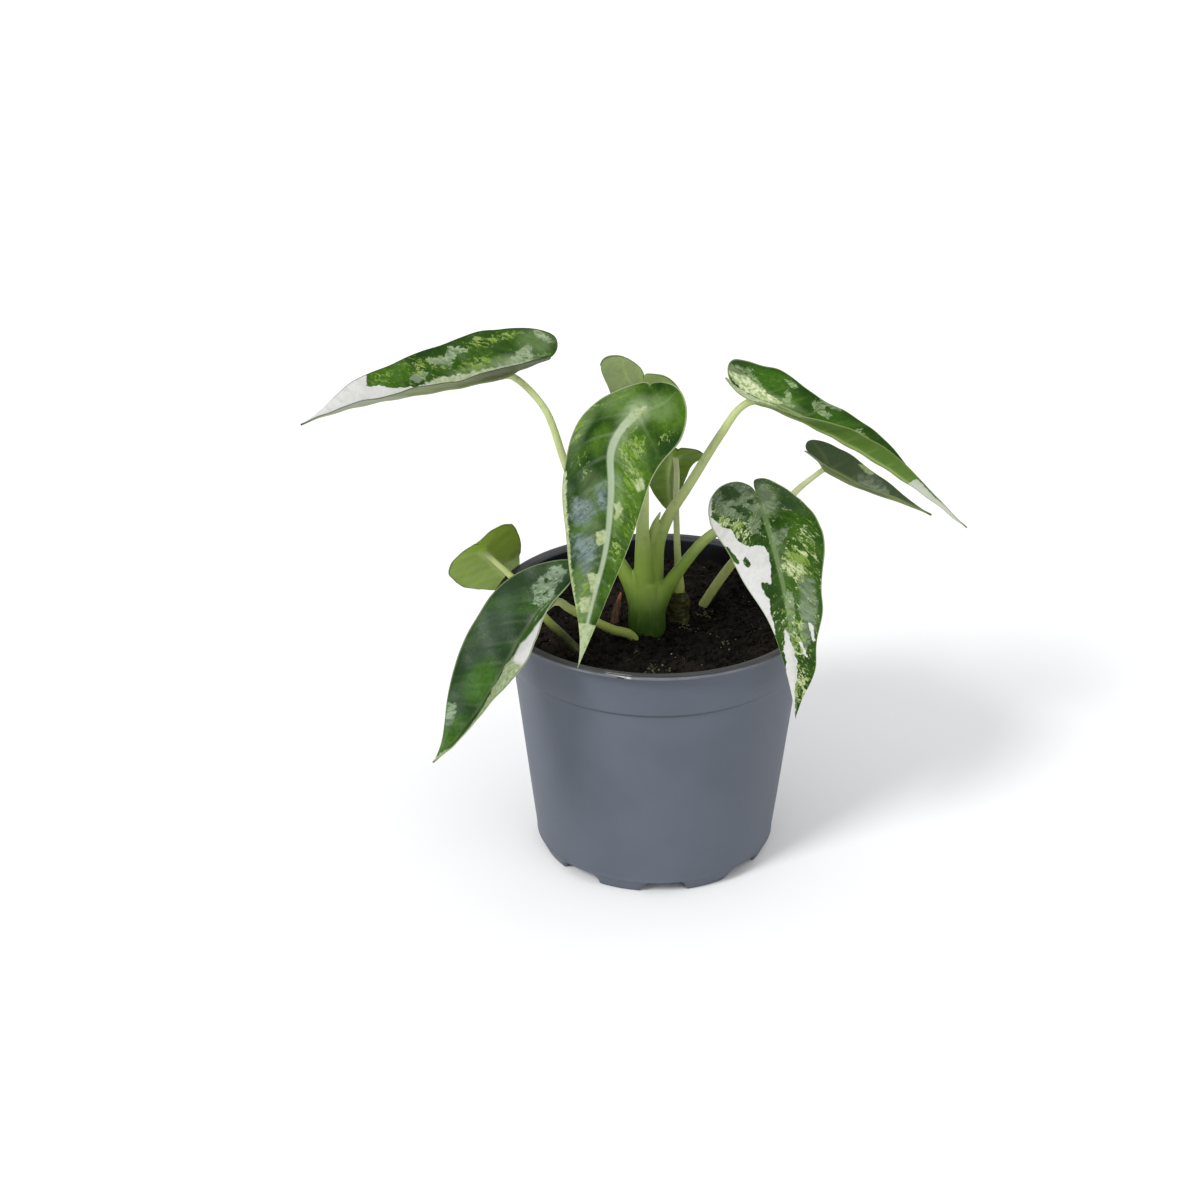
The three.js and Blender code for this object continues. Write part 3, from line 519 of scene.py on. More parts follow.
        grey_holes=[[(-15, -12), (-7, -13), (-6.5, -7.5), (-10, -5.5), (-16, -8)],
                    [(-3, -11), (2, -8), (3.5, -4), (-3, -6)],
                    [(-6, -4), (-2, -3.4), (-6, -2.6)]],
        fleck=[(25, 6.5, 6, 4.5, 0.7), (9, -10, 5, 3.5, 0.6), (5, -14.5, 3, 3, 0.5), (50, 1, 12, 4, 0.35),
               (20, 12, 8, 3, 0.25), (67, 1.5, 7, 3, 0.45)],
        fleck_colours=((0.16, 0.24, 0.04), (0.42, 0.48, 0.25)),
        brights=[(20, 10, 12, 6, 0.6), (40, 3, 14, 4, 0.5), (9, 14, 9, 4, 0.5)],
        glows=[(-8, 3, 8, 4, 0.7), (0, 1, 5, 4, 0.6), (20, 1.5, 9, 2.5, 0.35), (38, 8, 10, 3, 0.35)]),
    "leaf_left_low": dict(
        seed=8, flecks=-0.4, white_edge=1.0, rib_strength=0.12, vein_strength=0.06,
        # The bluish grey cloud colour and its two soft spots on this leaf are a painted sheen of light on
        # the glossy upper side.
        green=(0.013, 0.035, 0.009), bright=(0.042, 0.120, 0.009), glow_colour=(0.10, 0.135, 0.105),
        grey_colour=(0.155, 0.215, 0.13), creams=((0.19, 0.25, 0.11), (0.36, 0.41, 0.26)),
        glows=[(20, -11, 14, 5, 0.22), (46, -8, 9, 3, 0.2)], edge=(0.22, 0.27, 0.13),
        under=(0.14, 0.19, 0.08),
        white=[[(4.5, 9), (8.5, 8), (11.5, 7.3), (17, 5), (19.5, 2.5), (23.5, 4), (26, 6), (27, 18),
                (16, 17), (8, 14), (4.5, 12)]],
        cream=[[(23.5, 4.5), (28, 0), (31.5, 2.5), (37, 0), (39.5, 3), (45, 6), (58, 6), (65, 0), (76, -2),
                (76, 12), (24, 22)]],
        grey=[[(2, -8.5), (-1, -9), (-4, -8.5), (-10, -7), (-11.5, -3.5), (-9, -2.5), (-4.5, -2),
               (-1, -0.5), (5.5, -0.5), (5, -2.5), (5.5, -4.5), (3.5, -4), (2.5, -6)],
              [(51, -11), (49, -8), (54.5, -4), (58, -6.5)],
              [(-1, 0.5), (4, 1), (10, 2.2), (9, 3), (3, 2.2), (-2, 1.6)]],
        grey_holes=[[(-5, -6.3), (-3.5, -5.5), (-2.5, -6.2), (-4, -7)],
                    [(-2.5, -2.6), (0.5, -2.2), (0, -3.2)]],
        fleck=[(52, -6, 6, 3, 0.3), (8, 5, 6, 2, 0.2)],
        brights=[(37, -5, 8, 5, 1.1), (60, -2, 10, 5, 1.0), (14, 4, 9, 3, 0.5)]),
    # The underside colour is made lighter to stand in for light shining through the blade: painted
    # transmitted light over its own green.
    "leaf_left_small": dict(seed=9, flecks=0.1, under=(0.285, 0.42, 0.055), edge=(0.04, 0.07, 0.015)),
}


# Colours that all leaves share.
DARK_SPECKS = (0.006, 0.022, 0.002)
WHITES = (0.55, 0.545, 0.545), (0.49, 0.495, 0.455)
PINKISH, GREENISH = (0.41, 0.375, 0.35), (0.36, 0.42, 0.26)
UNDER_WHITE, UNDER_VEINS = (0.44, 0.46, 0.39), (0.36, 0.45, 0.16)


# The fields on a blade, and the textures that break them up.
def leaf_fields(t, seed):
    f = SimpleNamespace()
    f.along, f.across, f.share = t.split(t.attribute("flat"))
    f.rib, f.lobe, f.side = t.split(t.attribute("vein"))
    f.white, f.cream, f.grey = t.split(t.attribute("paint"))
    f.fleck, f.lively, f.glow = t.split(t.attribute("fleck"))
    streaked = t.join(f.side, t.times(f.across, 0.6), seed * 37.0)
    flat = t.join(f.along, f.across, seed * 11.0)
    dashed = t.join(t.times(f.side, 0.8), t.times(f.across, 0.8), seed * 5.0)
    f.large = t.noise(streaked, 0.10, 4, 0.6, 0.4)
    f.patch = t.noise(streaked, 0.30, 6, 0.65, 0.6)
    f.patch_too = t.noise(flat, 0.30, 6, 0.68, 0.8)
    f.spots = t.noise(flat, 0.75, 5, 0.62, 0.3)
    f.fine = t.noise(flat, 2.2, 3, 0.6)
    f.dashes = t.noise(dashed, 0.62, 6, 0.66, 0.9)
    return f


# A patch shows where its field and textures together pass zero, so its border is ragged.
def cover(t, fine, field, texture, ragged, edge):
    rough = t.plus(texture, t.times(t.minus(fine, 0.5), 0.3))
    total = t.plus(field, t.times(t.minus(rough, 0.5), ragged))
    return t.step(total, -edge, edge)


# The green under the patches, livelier in its bright spots and clouded pale in its soft pale spots, which on
# leaf_left_low are a painted sheen.
def leaf_green(t, f, look):
    lit = t.plus(t.step(f.large, 0.4, 0.7, 0, 0.6), t.times(f.lively, 0.8), clamp=True)
    green = t.mix(t.times(lit, t.step(f.spots, 0.25, 0.6, 0.5, 1.0)), look["green"], look["bright"])
    green = t.mix(t.step(f.spots, 0.55, 0.75, 0, 0.4), green, look["bright"])
    green = t.mix(t.step(f.fine, 0.3, 0.7, 0, 0.15), green, DARK_SPECKS)
    glow = t.times(f.glow, t.step(f.patch, 0.3, 0.65, 0.55, 1.0), clamp=True)
    return t.mix(glow, green, look["glow_colour"])


# The colour with grey patches, flecks, creams and white over the green, and three of their shares.
def leaf_patches(t, f, look):
    grey = cover(t, f.fine, f.grey, f.patch_too, look["ragged"], look["grey_edge"])
    grey = t.times(grey, t.step(f.dashes, 0.60, 0.50, 0.25, 1.0))
    greys = [scaled(look["grey_colour"], factor) for factor in (0.75, 1.4)]
    colour = t.mix(grey, leaf_green(t, f, look), t.mix(t.step(f.patch, 0.38, 0.62), *greys))
    fleck = cover(t, f.fine, t.minus(f.fleck, 0.5), f.dashes, 3.2, 0.2)
    colour = t.mix(fleck, colour, t.mix(t.step(f.patch, 0.4, 0.6), *look["fleck_colours"]))
    cream = cover(t, f.fine, f.cream, f.patch, 4.0, 0.35)
    cream = t.times(cream, t.step(f.spots, 0.25, 0.45, 0.7, 1.0))
    colour = t.mix(cream, colour, t.mix(t.step(f.spots, 0.35, 0.65), *look["creams"]))
    white = cover(t, f.fine, f.white, f.patch_too, 2.4, look["white_edge"])
    pale = t.mix(t.step(f.spots, 0.3, 0.7), *WHITES)
    pale = t.mix(t.step(f.patch, 0.5, 0.75, 0, 0.5), pale, PINKISH)
    pale = t.mix(t.step(f.fine, 0.64, 0.76, 0, 0.25), pale, GREENISH)
    return t.mix(white, colour, pale), grey, cream, white


# How much the midrib and the veins show. They fade on white.
def leaf_lines(t, f, look, white):
    away = t.times(t.math("PINGPONG", t.times(f.side, 1 / SPACING), 0.5), SPACING)
    keep = t.times(t.step(f.share, 0.98, 0.1), t.step(f.side, -3.0, -0.5))
    veins = t.math("MAXIMUM", t.times(t.step(away, 1.2, 0.1), keep), t.step(f.lobe, 0.5, -0.3))
    midrib = t.times(t.step(f.rib, 0.45, -0.35), look["rib_strength"])
    midrib = t.times(midrib, t.step(f.along, -3, 9, 0.2, 1.0))
    lines = t.math("MAXIMUM", t.times(veins, look["vein_strength"]), midrib)
    lines = t.times(lines, t.step(f.fine, 0.2, 0.5, 0.75, 1.0))
    return t.times(lines, t.minus(1.0, t.times(white, 0.7)))


# The underside, where the patches show through faintly.
def leaf_under(t, f, look, shares, lines):
    grey, cream, white = shares
    colour = t.mix(t.step(f.large, 0.3, 0.7), look["under"], scaled(look["under"], 1.25))
    colour = t.mix(t.step(f.along, 28, 4), colour, look["lobe_under"] or look["under"])
    colour = t.mix(t.times(grey, 0.6), colour, look["grey_colour"])
    pale = t.times(t.math("MAXIMUM", white, t.times(cream, 0.35)), look["under_pale"])
    return t.mix(t.times(lines, 0.75), t.mix(pale, colour, UNDER_WHITE), UNDER_VEINS)


def leaf_material(name, look, upper):
    t = Tree(name)
    f = leaf_fields(t, look["seed"])
    colour, *shares = leaf_patches(t, f, look)
    lines = leaf_lines(t, f, look, shares[-1])
    if upper:
        colour = t.mix(lines, colour, look["rib_colour"])
        rough = t.step(f.spots, 0.3, 0.7, 0.27, 0.36)
    else:
        colour = leaf_under(t, f, look, shares, lines)
        rough = t.step(f.spots, 0.3, 0.7, 0.5, 0.6)
    edge = t.times(t.step(f.share, 0.965, 0.99), EDGE_STRENGTH)
    relief = t.plus(t.times(f.fine, 0.5), f.spots)
    return t.finish(Base_Color=t.mix(edge, colour, look["edge"]), Roughness=rough,
                    Normal=t.bump(relief, 0.00014, 0.6), Specular_IOR_Level=0.12)


# One half of a leaf's sheet, as a grid of points from the midrib to the margin with two fields on it.
def half_sheet(leaf, side, rib_line, look):
    half = {**HALF, **leaf["left" if side == 1 else "right"]}
    length, sinus = rib_line.length, leaf["sinus"]
    edge, width = margin_of(half, sinus, length)
    width = width - side * rib_line.sway(edge)
    rows = LOBE_ROWS + BLADE_ROWS
    inner = -sinus + (length + sinus) * (np.arange(rows + 1) / rows) ** ROW_POWER
    share = np.linspace(0, 1, COLUMNS + 1)[None, :]
    distance = inner[:, None] * (1 - share) + edge[:, None] * share
    across = width[:, None] * share
    point, up, left = rib_line.at(distance)
    t = np.clip(distance / length, 0, 1)
    wide = np.maximum(width, 2)[:, None]
    part = across / wide
    fold = np.interp(t, np.linspace(0, 1, len(half["fold"])), half["fold"])
    lean = np.radians(fold) + math.radians(half["curl"]) * part / 2
    swing = half["wave"] * np.sin(2 * math.pi * half["waves"] * t + half["phase"])
    lift = across * np.sin(lean) + swing * part ** 2 * np.minimum(1, wide / 8)
    point = point + left * (side * across * np.cos(lean))[..., None] + up * lift[..., None]
    flat = np.stack([distance, side * across, np.broadcast_to(share, across.shape)], -1)
    return point, flat, np.stack(vein_fields(half, distance, across, length, look), -1)


# The sheet's upper and lower sides. It is quilted between its side veins and rippled, thins towards its
# margin, and has a ridge under the midrib and a low crest over it.
QUILT, RIPPLE, SINK = 0.22, 0.16, 0.08
HALF_THICK, THINNING = 0.34, 0.14
RIDGE, RIDGE_AT_TIP, CREST = 1.25, 0.12, 0.22


def leaf_sides(sheet, flat, vein, length, seed):
    along, signed, share = np.moveaxis(flat, -1, 0)
    across, side = np.abs(signed), vein[..., 2]
    normal = unit(np.cross(np.gradient(sheet, axis=0), np.gradient(sheet, axis=1)))
    for end, near in ((0, 2), (1, 2), (-1, -3), (-2, -3)):
        normal[end] = normal[near]
    t = np.clip(along / length, 0, 1)
    away = np.abs((side / SPACING + 0.5) % 1 - 0.5) * SPACING
    quilt = smoothstep(0, 3.2, away) * smoothstep(1.0, 0.6, share) * smoothstep(-4, 1, side)
    relief = QUILT * quilt * np.minimum(1, across / 3)
    relief = relief + RIPPLE * np.sin(0.55 * along + 1.3 * seed) * np.sin(0.5 * signed + seed)
    middle = sheet + normal * (relief - SINK)[..., None]
    half_thick = HALF_THICK - THINNING * share
    ridge = RIDGE * (1 - t) ** 1.2 + RIDGE_AT_TIP
    ridge = ridge * np.exp(-(across / (1.7 - t)) ** 2) * smoothstep(-4, 1, along)
    crest = CREST * (1 - t) * np.exp(-(across / 1.3) ** 2)
    return (middle + normal * (half_thick + crest)[..., None],
            middle - normal * (half_thick + ridge)[..., None])


def build_leaf(name):
    leaf = LEAVES[name]
    look = {**LOOK, **LOOKS[name]}
    rib_line = Midrib(leaf)
    right, left = (half_sheet(leaf, side, rib_line, look) for side in (-1, 1))
    sheet, flat, vein = (np.concatenate([r[:, ::-1], l[:, 1:]], 1) for r, l in zip(right, left))
    top, bottom = leaf_sides(sheet, flat, vein, rib_line.length, look["seed"])
    points = np.concatenate([top.reshape(-1, 3), bottom.reshape(-1, 3)])
    rows, columns = sheet.shape[:2]
    below = rows * columns
    upper = grid_faces(rows, columns)[:, ::-1]
    faces = [upper, grid_faces(rows, columns, below)]
    for column, order in ((0, 1), (columns - 1, -1)):
        a = np.arange(rows - 1) * columns + column
        rim = np.stack([a, a + columns, a + columns + below, a + below], -1)
        faces.append(rim[:, ::order])
    faces = np.concatenate(faces)
    indices = np.arange(len(faces)) >= len(upper)
    place = flat[..., 0], flat[..., 1]
    paint = [zone_field(look["white"], look["white_holes"], -6, *place),
             zone_field(look["cream"], [], -6, *place),
             zone_field(look["grey"], look["grey_holes"], look["greys"], *place)]
    fleck = look["flecks"] + (1 - look["flecks"]) * blob_field(look["fleck"], *place)
    spots = [fleck, blob_field(look["brights"], *place), blob_field(look["glows"], *place)]
    fields = {"flat": flat, "vein": vein, "paint": np.stack(paint, -1), "fleck": np.stack(spots, -1)}
    both = {key: np.concatenate([value.reshape(-1, 3)] * 2) for key, value in fields.items()}
    materials = [leaf_material(name + "_upper", look, True), leaf_material(name + "_under", look, False)]
    piece = mesh_piece(name.replace("leaf", "blade"), points, faces, materials, "leaf", both, indices)
    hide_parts(name)


# Stalks.
STALK_SIDES, STALK_STEPS, CURVE_STEPS = 18, 64, 24
SHOOT = {
    "stem": dict(points=[(-3.4, -8, 77), (-3.4, -8, 92), (-3.4, -8, 101), (-3.4, -7.5, 110)],
                 radii=[5.2, 6.9, 6.8, 5.2]),
    "sheath_tip": dict(points=[(-2.4, -5.5, 118), (-1.2, -5.2, 130), (1.2, -5, 136.4)],
                       radii=[2.2, 1.4, 0.4]),
    "left": dict(points=[(-5, -8, 97), (-8.4, -8, 107), (-13.8, -7.8, 118), (-21.6, -7, 133),
                         (-31.4, -6, 151.3), (-40.4, -4, 175.8)],
                 radii=[4.6, 3.4, 2.4, 1.6, 1.5, 1.3], leaf="leaf_left"),
    "front": dict(points=[(-4, -8.5, 100), (-4.8, -9, 116), (-5.2, -9.6, 131), (-5, -11, 151),
                          (-5.6, -14, 168)], radii=[4.4, 3.4, 2.4, 1.9, 1.6], leaf="leaf_front"),
    "back": dict(points=[(-4, -6.5, 100), (-4.6, -4, 114), (-5, -1.6, 128), (-5.3, 1, 146),
                         (-5.4, 3.4, 163)], radii=[4.2, 3, 2.1, 1.8, 1.4], leaf="leaf_back"),
    "right": dict(points=[(-1.6, -6.5, 99), (-0.9, -5.6, 113), (0.2, -4.6, 124), (4.4, -2.6, 134.2),
                          (10.5, -0.6, 143.6), (22, 2, 163), (28.8, 3.4, 172.9)],
                  radii=[4.2, 3.4, 2.8, 2.1, 1.8, 1.6, 1.4], leaf="leaf_right"),
    "right_low": dict(points=[(-1.5, -9, 97), (3.2, -9.8, 107.5), (8.6, -11, 116.9), (17.7, -12.6, 129.5),
                              (28.5, -13, 136.8)], radii=[4.2, 2.9, 2.2, 1.9, 1.8], leaf="leaf_right_low"),
}
SINGLE_STALKS = {
    "stalk_back_small": dict(points=[(7.8, 0.2, 98), (7.9, 0.8, 104), (7.8, 2.4, 110), (7.3, 6, 118),
                                     (6.8, 11, 132), (6.8, 13.5, 145)],
                             radii=[2.2, 2.3, 1.4, 1.2, 1.1, 1], leaf="leaf_back_small"),
    "stalk_right_small": dict(points=[(11.5, 10, 79), (16.9, 11, 90.7), (22.9, 12, 100.7),
                                      (28.3, 13.2, 108.3), (43, 18, 125), (51, 21, 133.6), (57, 23.3, 138)],
                              radii=[1.8, 1.8, 1.8, 1.7, 1.4, 1.2, 1], leaf="leaf_right_small"),
    "stalk_left_low": dict(points=[(-6.4, -15.8, 77), (-6.8, -16.4, 88), (-9.4, -17.6, 93.2),
                                   (-15.3, -21, 96.8), (-23, -28.5, 104.5), (-30.6, -37, 113.2),
                                   (-33.6, -43.2, 118.6)],
                           radii=[1.8, 1.8, 1.8, 1.7, 1.6, 1.5, 1.4], leaf="leaf_left_low"),
    "stalk_left_small": dict(points=[(-21, -28, 79), (-27, -28, 90.5), (-33, -26, 96.5), (-39.4, -23, 102),
                                     (-50.5, -15, 113), (-57.6, -10.5, 118)],
                             radii=[1.8, 1.8, 1.7, 1.5, 1.2, 1], leaf="leaf_left_small"),
}


# A centripetal curve through points, as (points, radii) at even steps of its length.
def smooth_line(points, radii, steps):
    points = np.array(points, float)
    padded = np.vstack([2 * points[0] - points[1], points, 2 * points[-1] - points[-2]])
    dense, knots = [], []
    for i in range(1, len(padded) - 2):
        p0, p1, p2, p3 = padded[i - 1:i + 3]
        d0, d1, d2 = (max(np.linalg.norm(q - p) ** 0.5, 1e-6) for p, q in ((p0, p1), (p1, p2), (p2, p3)))
        m1 = ((p1 - p0) / d0 - (p2 - p0) / (d0 + d1) + (p2 - p1) / d1) * d1
        m2 = ((p2 - p1) / d1 - (p3 - p1) / (d1 + d2) + (p3 - p2) / d2) * d1
        for s in np.linspace(0, 1, CURVE_STEPS, endpoint=False):
            dense.append(p1 + m1 * s + (-3 * p1 + 3 * p2 - 2 * m1 - m2) * s ** 2
                         + (2 * p1 - 2 * p2 + m1 + m2) * s ** 3)
            knots.append(i - 1 + s)
    dense.append(points[-1])
    knots.append(len(points) - 1)
    dense, knots = np.array(dense), np.array(knots)
    arc = np.concatenate([[0], np.cumsum(np.linalg.norm(np.diff(dense, axis=0), axis=1))])
    even = np.linspace(0, arc[-1], steps + 1)
    line = np.stack([np.interp(even, arc, dense[:, k]) for k in range(3)], -1)
    return line, np.interp(np.interp(even, arc, knots), np.arange(len(radii)), radii)


def tube(line, radii, sides, flat=1.0, turn=0.0):
    tangent = unit(np.gradient(line, axis=0))
    normal = unit(np.cross(tangent[0], (0.3, 1, 0.1)))
    angle = 2 * math.pi * np.arange(sides) / sides + turn
    rings = []
    for centre, radius, ahead in zip(line, radii, tangent):
        normal = unit(normal - ahead * np.dot(normal, ahead))
        binormal = np.cross(ahead, normal)
        ring = np.outer(np.cos(angle), normal) + flat * np.outer(np.sin(angle), binormal)
        rings.append(centre + radius * ring)
    points = np.vstack(rings + [line[0], line[-1]])
    first, last = len(points) - 2, len(points) - 1
    faces = face_list(len(line), sides) + fan(first, 0, sides, flip=True)
    return points, faces + fan(last, (len(line) - 1) * sides, sides)


# A stalk's line goes on under its blade, close along the midrib, and thins out there.
def line_to_leaf(spec):
    point, up, _ = Midrib(LEAVES[spec["leaf"]]).at(np.array([0.5, 4.0, 9.0]))
    radius = spec["radii"][-1]
    under = point - up * (np.array([0.75, 0.6, 0.3]) * radius + 0.25)[:, None]
    return list(spec["points"]) + list(under), list(spec["radii"]) + [radius, 0.75 * radius, 0.3 * radius]


# levels are three colours from the foot to the leaf, and heights where each of them ends and begins.
def stalk_material(name, levels, heights):
    t = Tree(name)
    place = t.position()
    z = t.split(place)[2]
    low, middle, high = levels
    first, second, third = (height / 1000 for height in heights)
    colour = t.mix(t.step(z, first, second), low, middle)
    colour = t.mix(t.step(z, second, third), colour, high)
    streaks = t.noise(t.stretch(place, 900.0, 900.0, 60.0), 1.0, 4, 0.6)
    colour = t.mix(t.step(streaks, 0.35, 0.7, 0, 0.07), colour, scaled(middle, 1.5))
    blotch = t.noise(place, 260.0, 4, 0.6)
    colour = t.mix(t.step(blotch, 0.5, 0.75, 0, 0.3), colour, scaled(middle, 0.55))
    return t.finish(Base_Color=colour, Roughness=t.step(blotch, 0.3, 0.7, 0.34, 0.45),
                    Specular_IOR_Level=0.18, Normal=t.bump(streaks, 0.0001, 0.15),
                    Subsurface_Weight=0.12, Subsurface_Radius=(0.002, 0.003, 0.001), Subsurface_Scale=0.5)


def build_single_stalks():
    middle, high = (0.31, 0.37, 0.09), (0.50, 0.54, 0.30)
    bright = stalk_material("petiole_green", [(0.22, 0.28, 0.06), middle, high], [90, 105, 135])
    pale = stalk_material("petiole_pale", [(0.34, 0.39, 0.12), (0.42, 0.47, 0.16), high], [90, 105, 135])
    shaded = stalk_material("petiole_shaded", [(0.028, 0.032, 0.012), middle, high], [96, 106, 135])
    materials = {"stalk_right_small": pale, "stalk_left_small": shaded}
    for name, spec in SINGLE_STALKS.items():
        points, faces = tube(*smooth_line(*line_to_leaf(spec), STALK_STEPS), STALK_SIDES)
        material = materials.get(name, bright)
        piece = mesh_piece(name.replace("stalk", "petiole"), points, faces, [material], "stalk")
        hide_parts(name)


# The shoot's stem, sheath and stalks grow into one skin, with a voxel's size in metres.
SKIN_VOXEL = 0.00045


def build_shoot():
    parts = []
    for spec in SHOOT.values():
        shape = line_to_leaf(spec) if "leaf" in spec else (spec["points"], spec["radii"])
        parts.append(tube(*smooth_line(*shape, STALK_STEPS), STALK_SIDES))
    green = stalk_material("shoot_green", [(0.026, 0.064, 0.010), (0.190, 0.280, 0.044), (0.47, 0.53, 0.24)],
                           [93, 117, 150])
    piece = mesh_piece("shoot", *merged(parts), [green], "stalk")
    skin = piece.modifiers.new("skin", "REMESH")
    skin.mode = "VOXEL"
    skin.voxel_size = SKIN_VOXEL
    soften = piece.modifiers.new("soften", "SMOOTH")
    soften.iterations = 4
    soften.factor = 0.5
    apply_modifiers(piece)
    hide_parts("main_shoot")


# The pot. Its profile is (radius, height) from the foot ring's inner side, under the ring, up the outer
# wall, over the rim and down the inner wall to the floor. The notches lift the FOOT_POINTS after its
# first, the outside ends at OUTER_POINTS, and over UNDER_RIM the inside reaches to RIM_INNER.
POT_SEGMENTS = 192
POT_PROFILE = [(39.6, 5.0), (39.6, 0.3), (39.9, 0.0), (41.6, 0.0), (42.0, 0.35), (42.9, 2.2), (43.75, 4.3),
               (43.95, 4.75), (44.3, 5.0), (44.38, 5.3), (44.25, 5.6), (44.4, 6.8), (44.9, 11.0),
               (46.2, 22.0), (48.8, 44.0), (51.2, 64.0), (52.6, 75.5), (53.0, 78.4), (53.25, 79.1),
               (54.1, 79.7), (54.4, 80.2), (54.9, 86.0), (55.5, 92.0), (55.95, 96.3), (56.3, 96.75),
               (59.4, 96.8), (59.9, 97.0), (60.0, 97.4), (59.85, 97.85), (59.3, 98.0), (56.7, 98.0),
               (56.3, 97.85), (55.3, 97.0), (54.95, 96.6), (54.5, 92.0), (53.9, 86.0), (53.4, 80.4),
               (52.4, 79.6), (52.0, 78.6), (51.6, 75.5), (50.2, 64.0), (47.8, 44.0), (45.2, 22.0),
               (43.9, 11.0), (43.1, 6.0), (20.0, 6.0)]
FOOT_POINTS, OUTER_POINTS = 6, 30
FLOOR_TOP, FLOOR_UNDER = 6.0, 5.0
UNDER_RIM, RIM_INNER = 96.5, 55.6
NOTCH = dict(count=8, first=-84.8, width=24.5, height=4.6)
DRAIN = dict(ring=35.5, radius=3.0, sides=32, low=3.5, high=7.5)
SCRATCH_X, SCRATCH_RADII, NICK_X, NICK_HEIGHT = -13.0, (58.6, 59.7), -12.1, 97.15


def notch_height(angle):
    step = 360 / NOTCH["count"]
    off = np.abs((angle - NOTCH["first"] + step / 2) % step - step / 2)
    return NOTCH["height"] * smoothstep(NOTCH["width"] / 2 + 0.2, NOTCH["width"] / 2 - 3.9, off)


# The rim's flat top is duller than the wall, with soil on it in places and a lighter, broken line along its
# outer lip.
def rim_wear(t, colour, place, height, radius):
    x, y, _ = t.split(place)
    rim_mottle = t.noise(t.join(t.times(x, 25.0), t.times(y, 25.0), t.times(radius, 0.9)), 1.6, 5, 0.7)
    top = t.times(t.step(height, 97.4, 97.8), t.step(radius, 59.9, 59.5))
    soiled = t.mix(t.step(rim_mottle, 0.4, 0.6), (0.024, 0.0235, 0.023), (0.055, 0.054, 0.054))
    colour = t.mix(t.times(top, 0.9), colour, soiled)
    line = t.times(t.step(height, 96.6, 97.1), t.step(radius, 59.2, 59.6))
    return t.mix(t.times(line, t.step(rim_mottle, 0.42, 0.66, 0.1, 0.7)), colour, (0.19, 0.19, 0.195))


# Two pale scratches and a dark nick at the front of the rim.
def rim_marks(t, colour, place, height, radius, grain):
    x, y, _ = t.split(place)
    front = t.step(y, MIDDLE[1] - 0.040, MIDDLE[1] - 0.045)
    sideways = t.math("MULTIPLY_ADD", x, 1000.0, -1000.0 * MIDDLE[0] - SCRATCH_X)
    beside = t.math("ABSOLUTE", sideways)
    slant = t.times(sideways, 0.06)
    for scratch_radius in SCRATCH_RADII:
        off = t.math("ABSOLUTE", t.minus(t.minus(radius, scratch_radius), slant))
        scratch = t.times(t.step(beside, 5.0, 3.8), t.step(off, 0.17, 0.07))
        scratch = t.times(scratch, t.times(front, t.step(height, 96.9, 97.3)))
        colour = t.mix(t.times(scratch, t.step(grain, 0.35, 0.5, 0.3, 0.9)), colour, (0.5, 0.5, 0.48))
    near_nick = t.math("ABSOLUTE", t.minus(sideways, NICK_X - SCRATCH_X))
    level = t.math("ABSOLUTE", t.minus(height, NICK_HEIGHT))
    nick = t.times(t.step(near_nick, 1.6, 1.0), t.times(front, t.step(level, 0.45, 0.25)))
    return t.mix(nick, colour, (0.012, 0.012, 0.013))


# Grey plastic with a few dark specks, painted shade in the crease under the band and on the dark inner wall.
def pot_material():
    t = Tree("pot_plastic")
    place = t.position()
    inside, height, radius = t.split(t.attribute("wall"))
    cloud = t.noise(place, 28.0, 3, 0.5)
    grain = t.noise(place, 900.0, 3, 0.6)
    colour = t.mix(t.step(cloud, 0.3, 0.7), (0.083, 0.096, 0.122), (0.097, 0.112, 0.140))
    specks = t.add("ShaderNodeTexVoronoi", {"Vector": place, "Scale": 95.0}).outputs["Distance"]
    dark = t.times(t.step(specks, 0.05, 0.02), t.step(t.noise(place, 40.0, 1, 0.5), 0.60, 0.66))
    colour = t.mix(t.times(dark, 0.75), colour, (0.03, 0.03, 0.035))
    # Painted shade: a dark line in the crease under the band.
    crease_shade = t.times(t.step(height, 78.3, 79.1), t.step(height, 80.3, 79.7))
    colour = t.mix(t.times(crease_shade, 0.6), colour, (0.035, 0.04, 0.05))
    colour = rim_wear(t, colour, place, height, radius)
    colour = rim_marks(t, colour, place, height, radius, grain)
    # The inner wall is the same plastic, painted near black as shade inside the pot, with some dirt.
    inner = t.mix(t.step(cloud, 0.35, 0.65), (0.004, 0.004, 0.0045), (0.009, 0.0095, 0.011))
    return t.finish(Base_Color=t.mix(inside, colour, inner), Roughness=t.step(cloud, 0.3, 0.7, 0.46, 0.56),
                    Specular_IOR_Level=t.minus(0.24, t.times(inside, 0.2)),
                    Normal=t.bump(t.plus(grain, t.times(cloud, 3.0)), 0.00018, 0.4))


def pot_shell():
    angle = 2 * math.pi * np.arange(POT_SEGMENTS) / POT_SEGMENTS
    lift = notch_height(np.degrees(angle))
    wobble = 0.12 * np.sin(2 * angle + 0.6) + 0.07 * np.sin(5 * angle + 2)
    rings = []
    for i, (radius, z) in enumerate(POT_PROFILE):
        heights = np.full(POT_SEGMENTS, z)
        if 1 <= i <= FOOT_POINTS:
            heights = np.maximum(heights, lift + 0.02 * z)
        r = radius + (wobble if z > 20 else 0)
        rings.append(np.stack([r * np.cos(angle), r * np.sin(angle), heights], -1))
    points = np.vstack(rings + [(0, 0, FLOOR_TOP), (0, 0, FLOOR_UNDER)])
    inner, outer = len(points) - 2, len(points) - 1
    faces = face_list(len(rings), POT_SEGMENTS) + fan(outer, 0, POT_SEGMENTS, flip=True)
    return points, faces + fan(inner, (len(rings) - 1) * POT_SEGMENTS, POT_SEGMENTS)


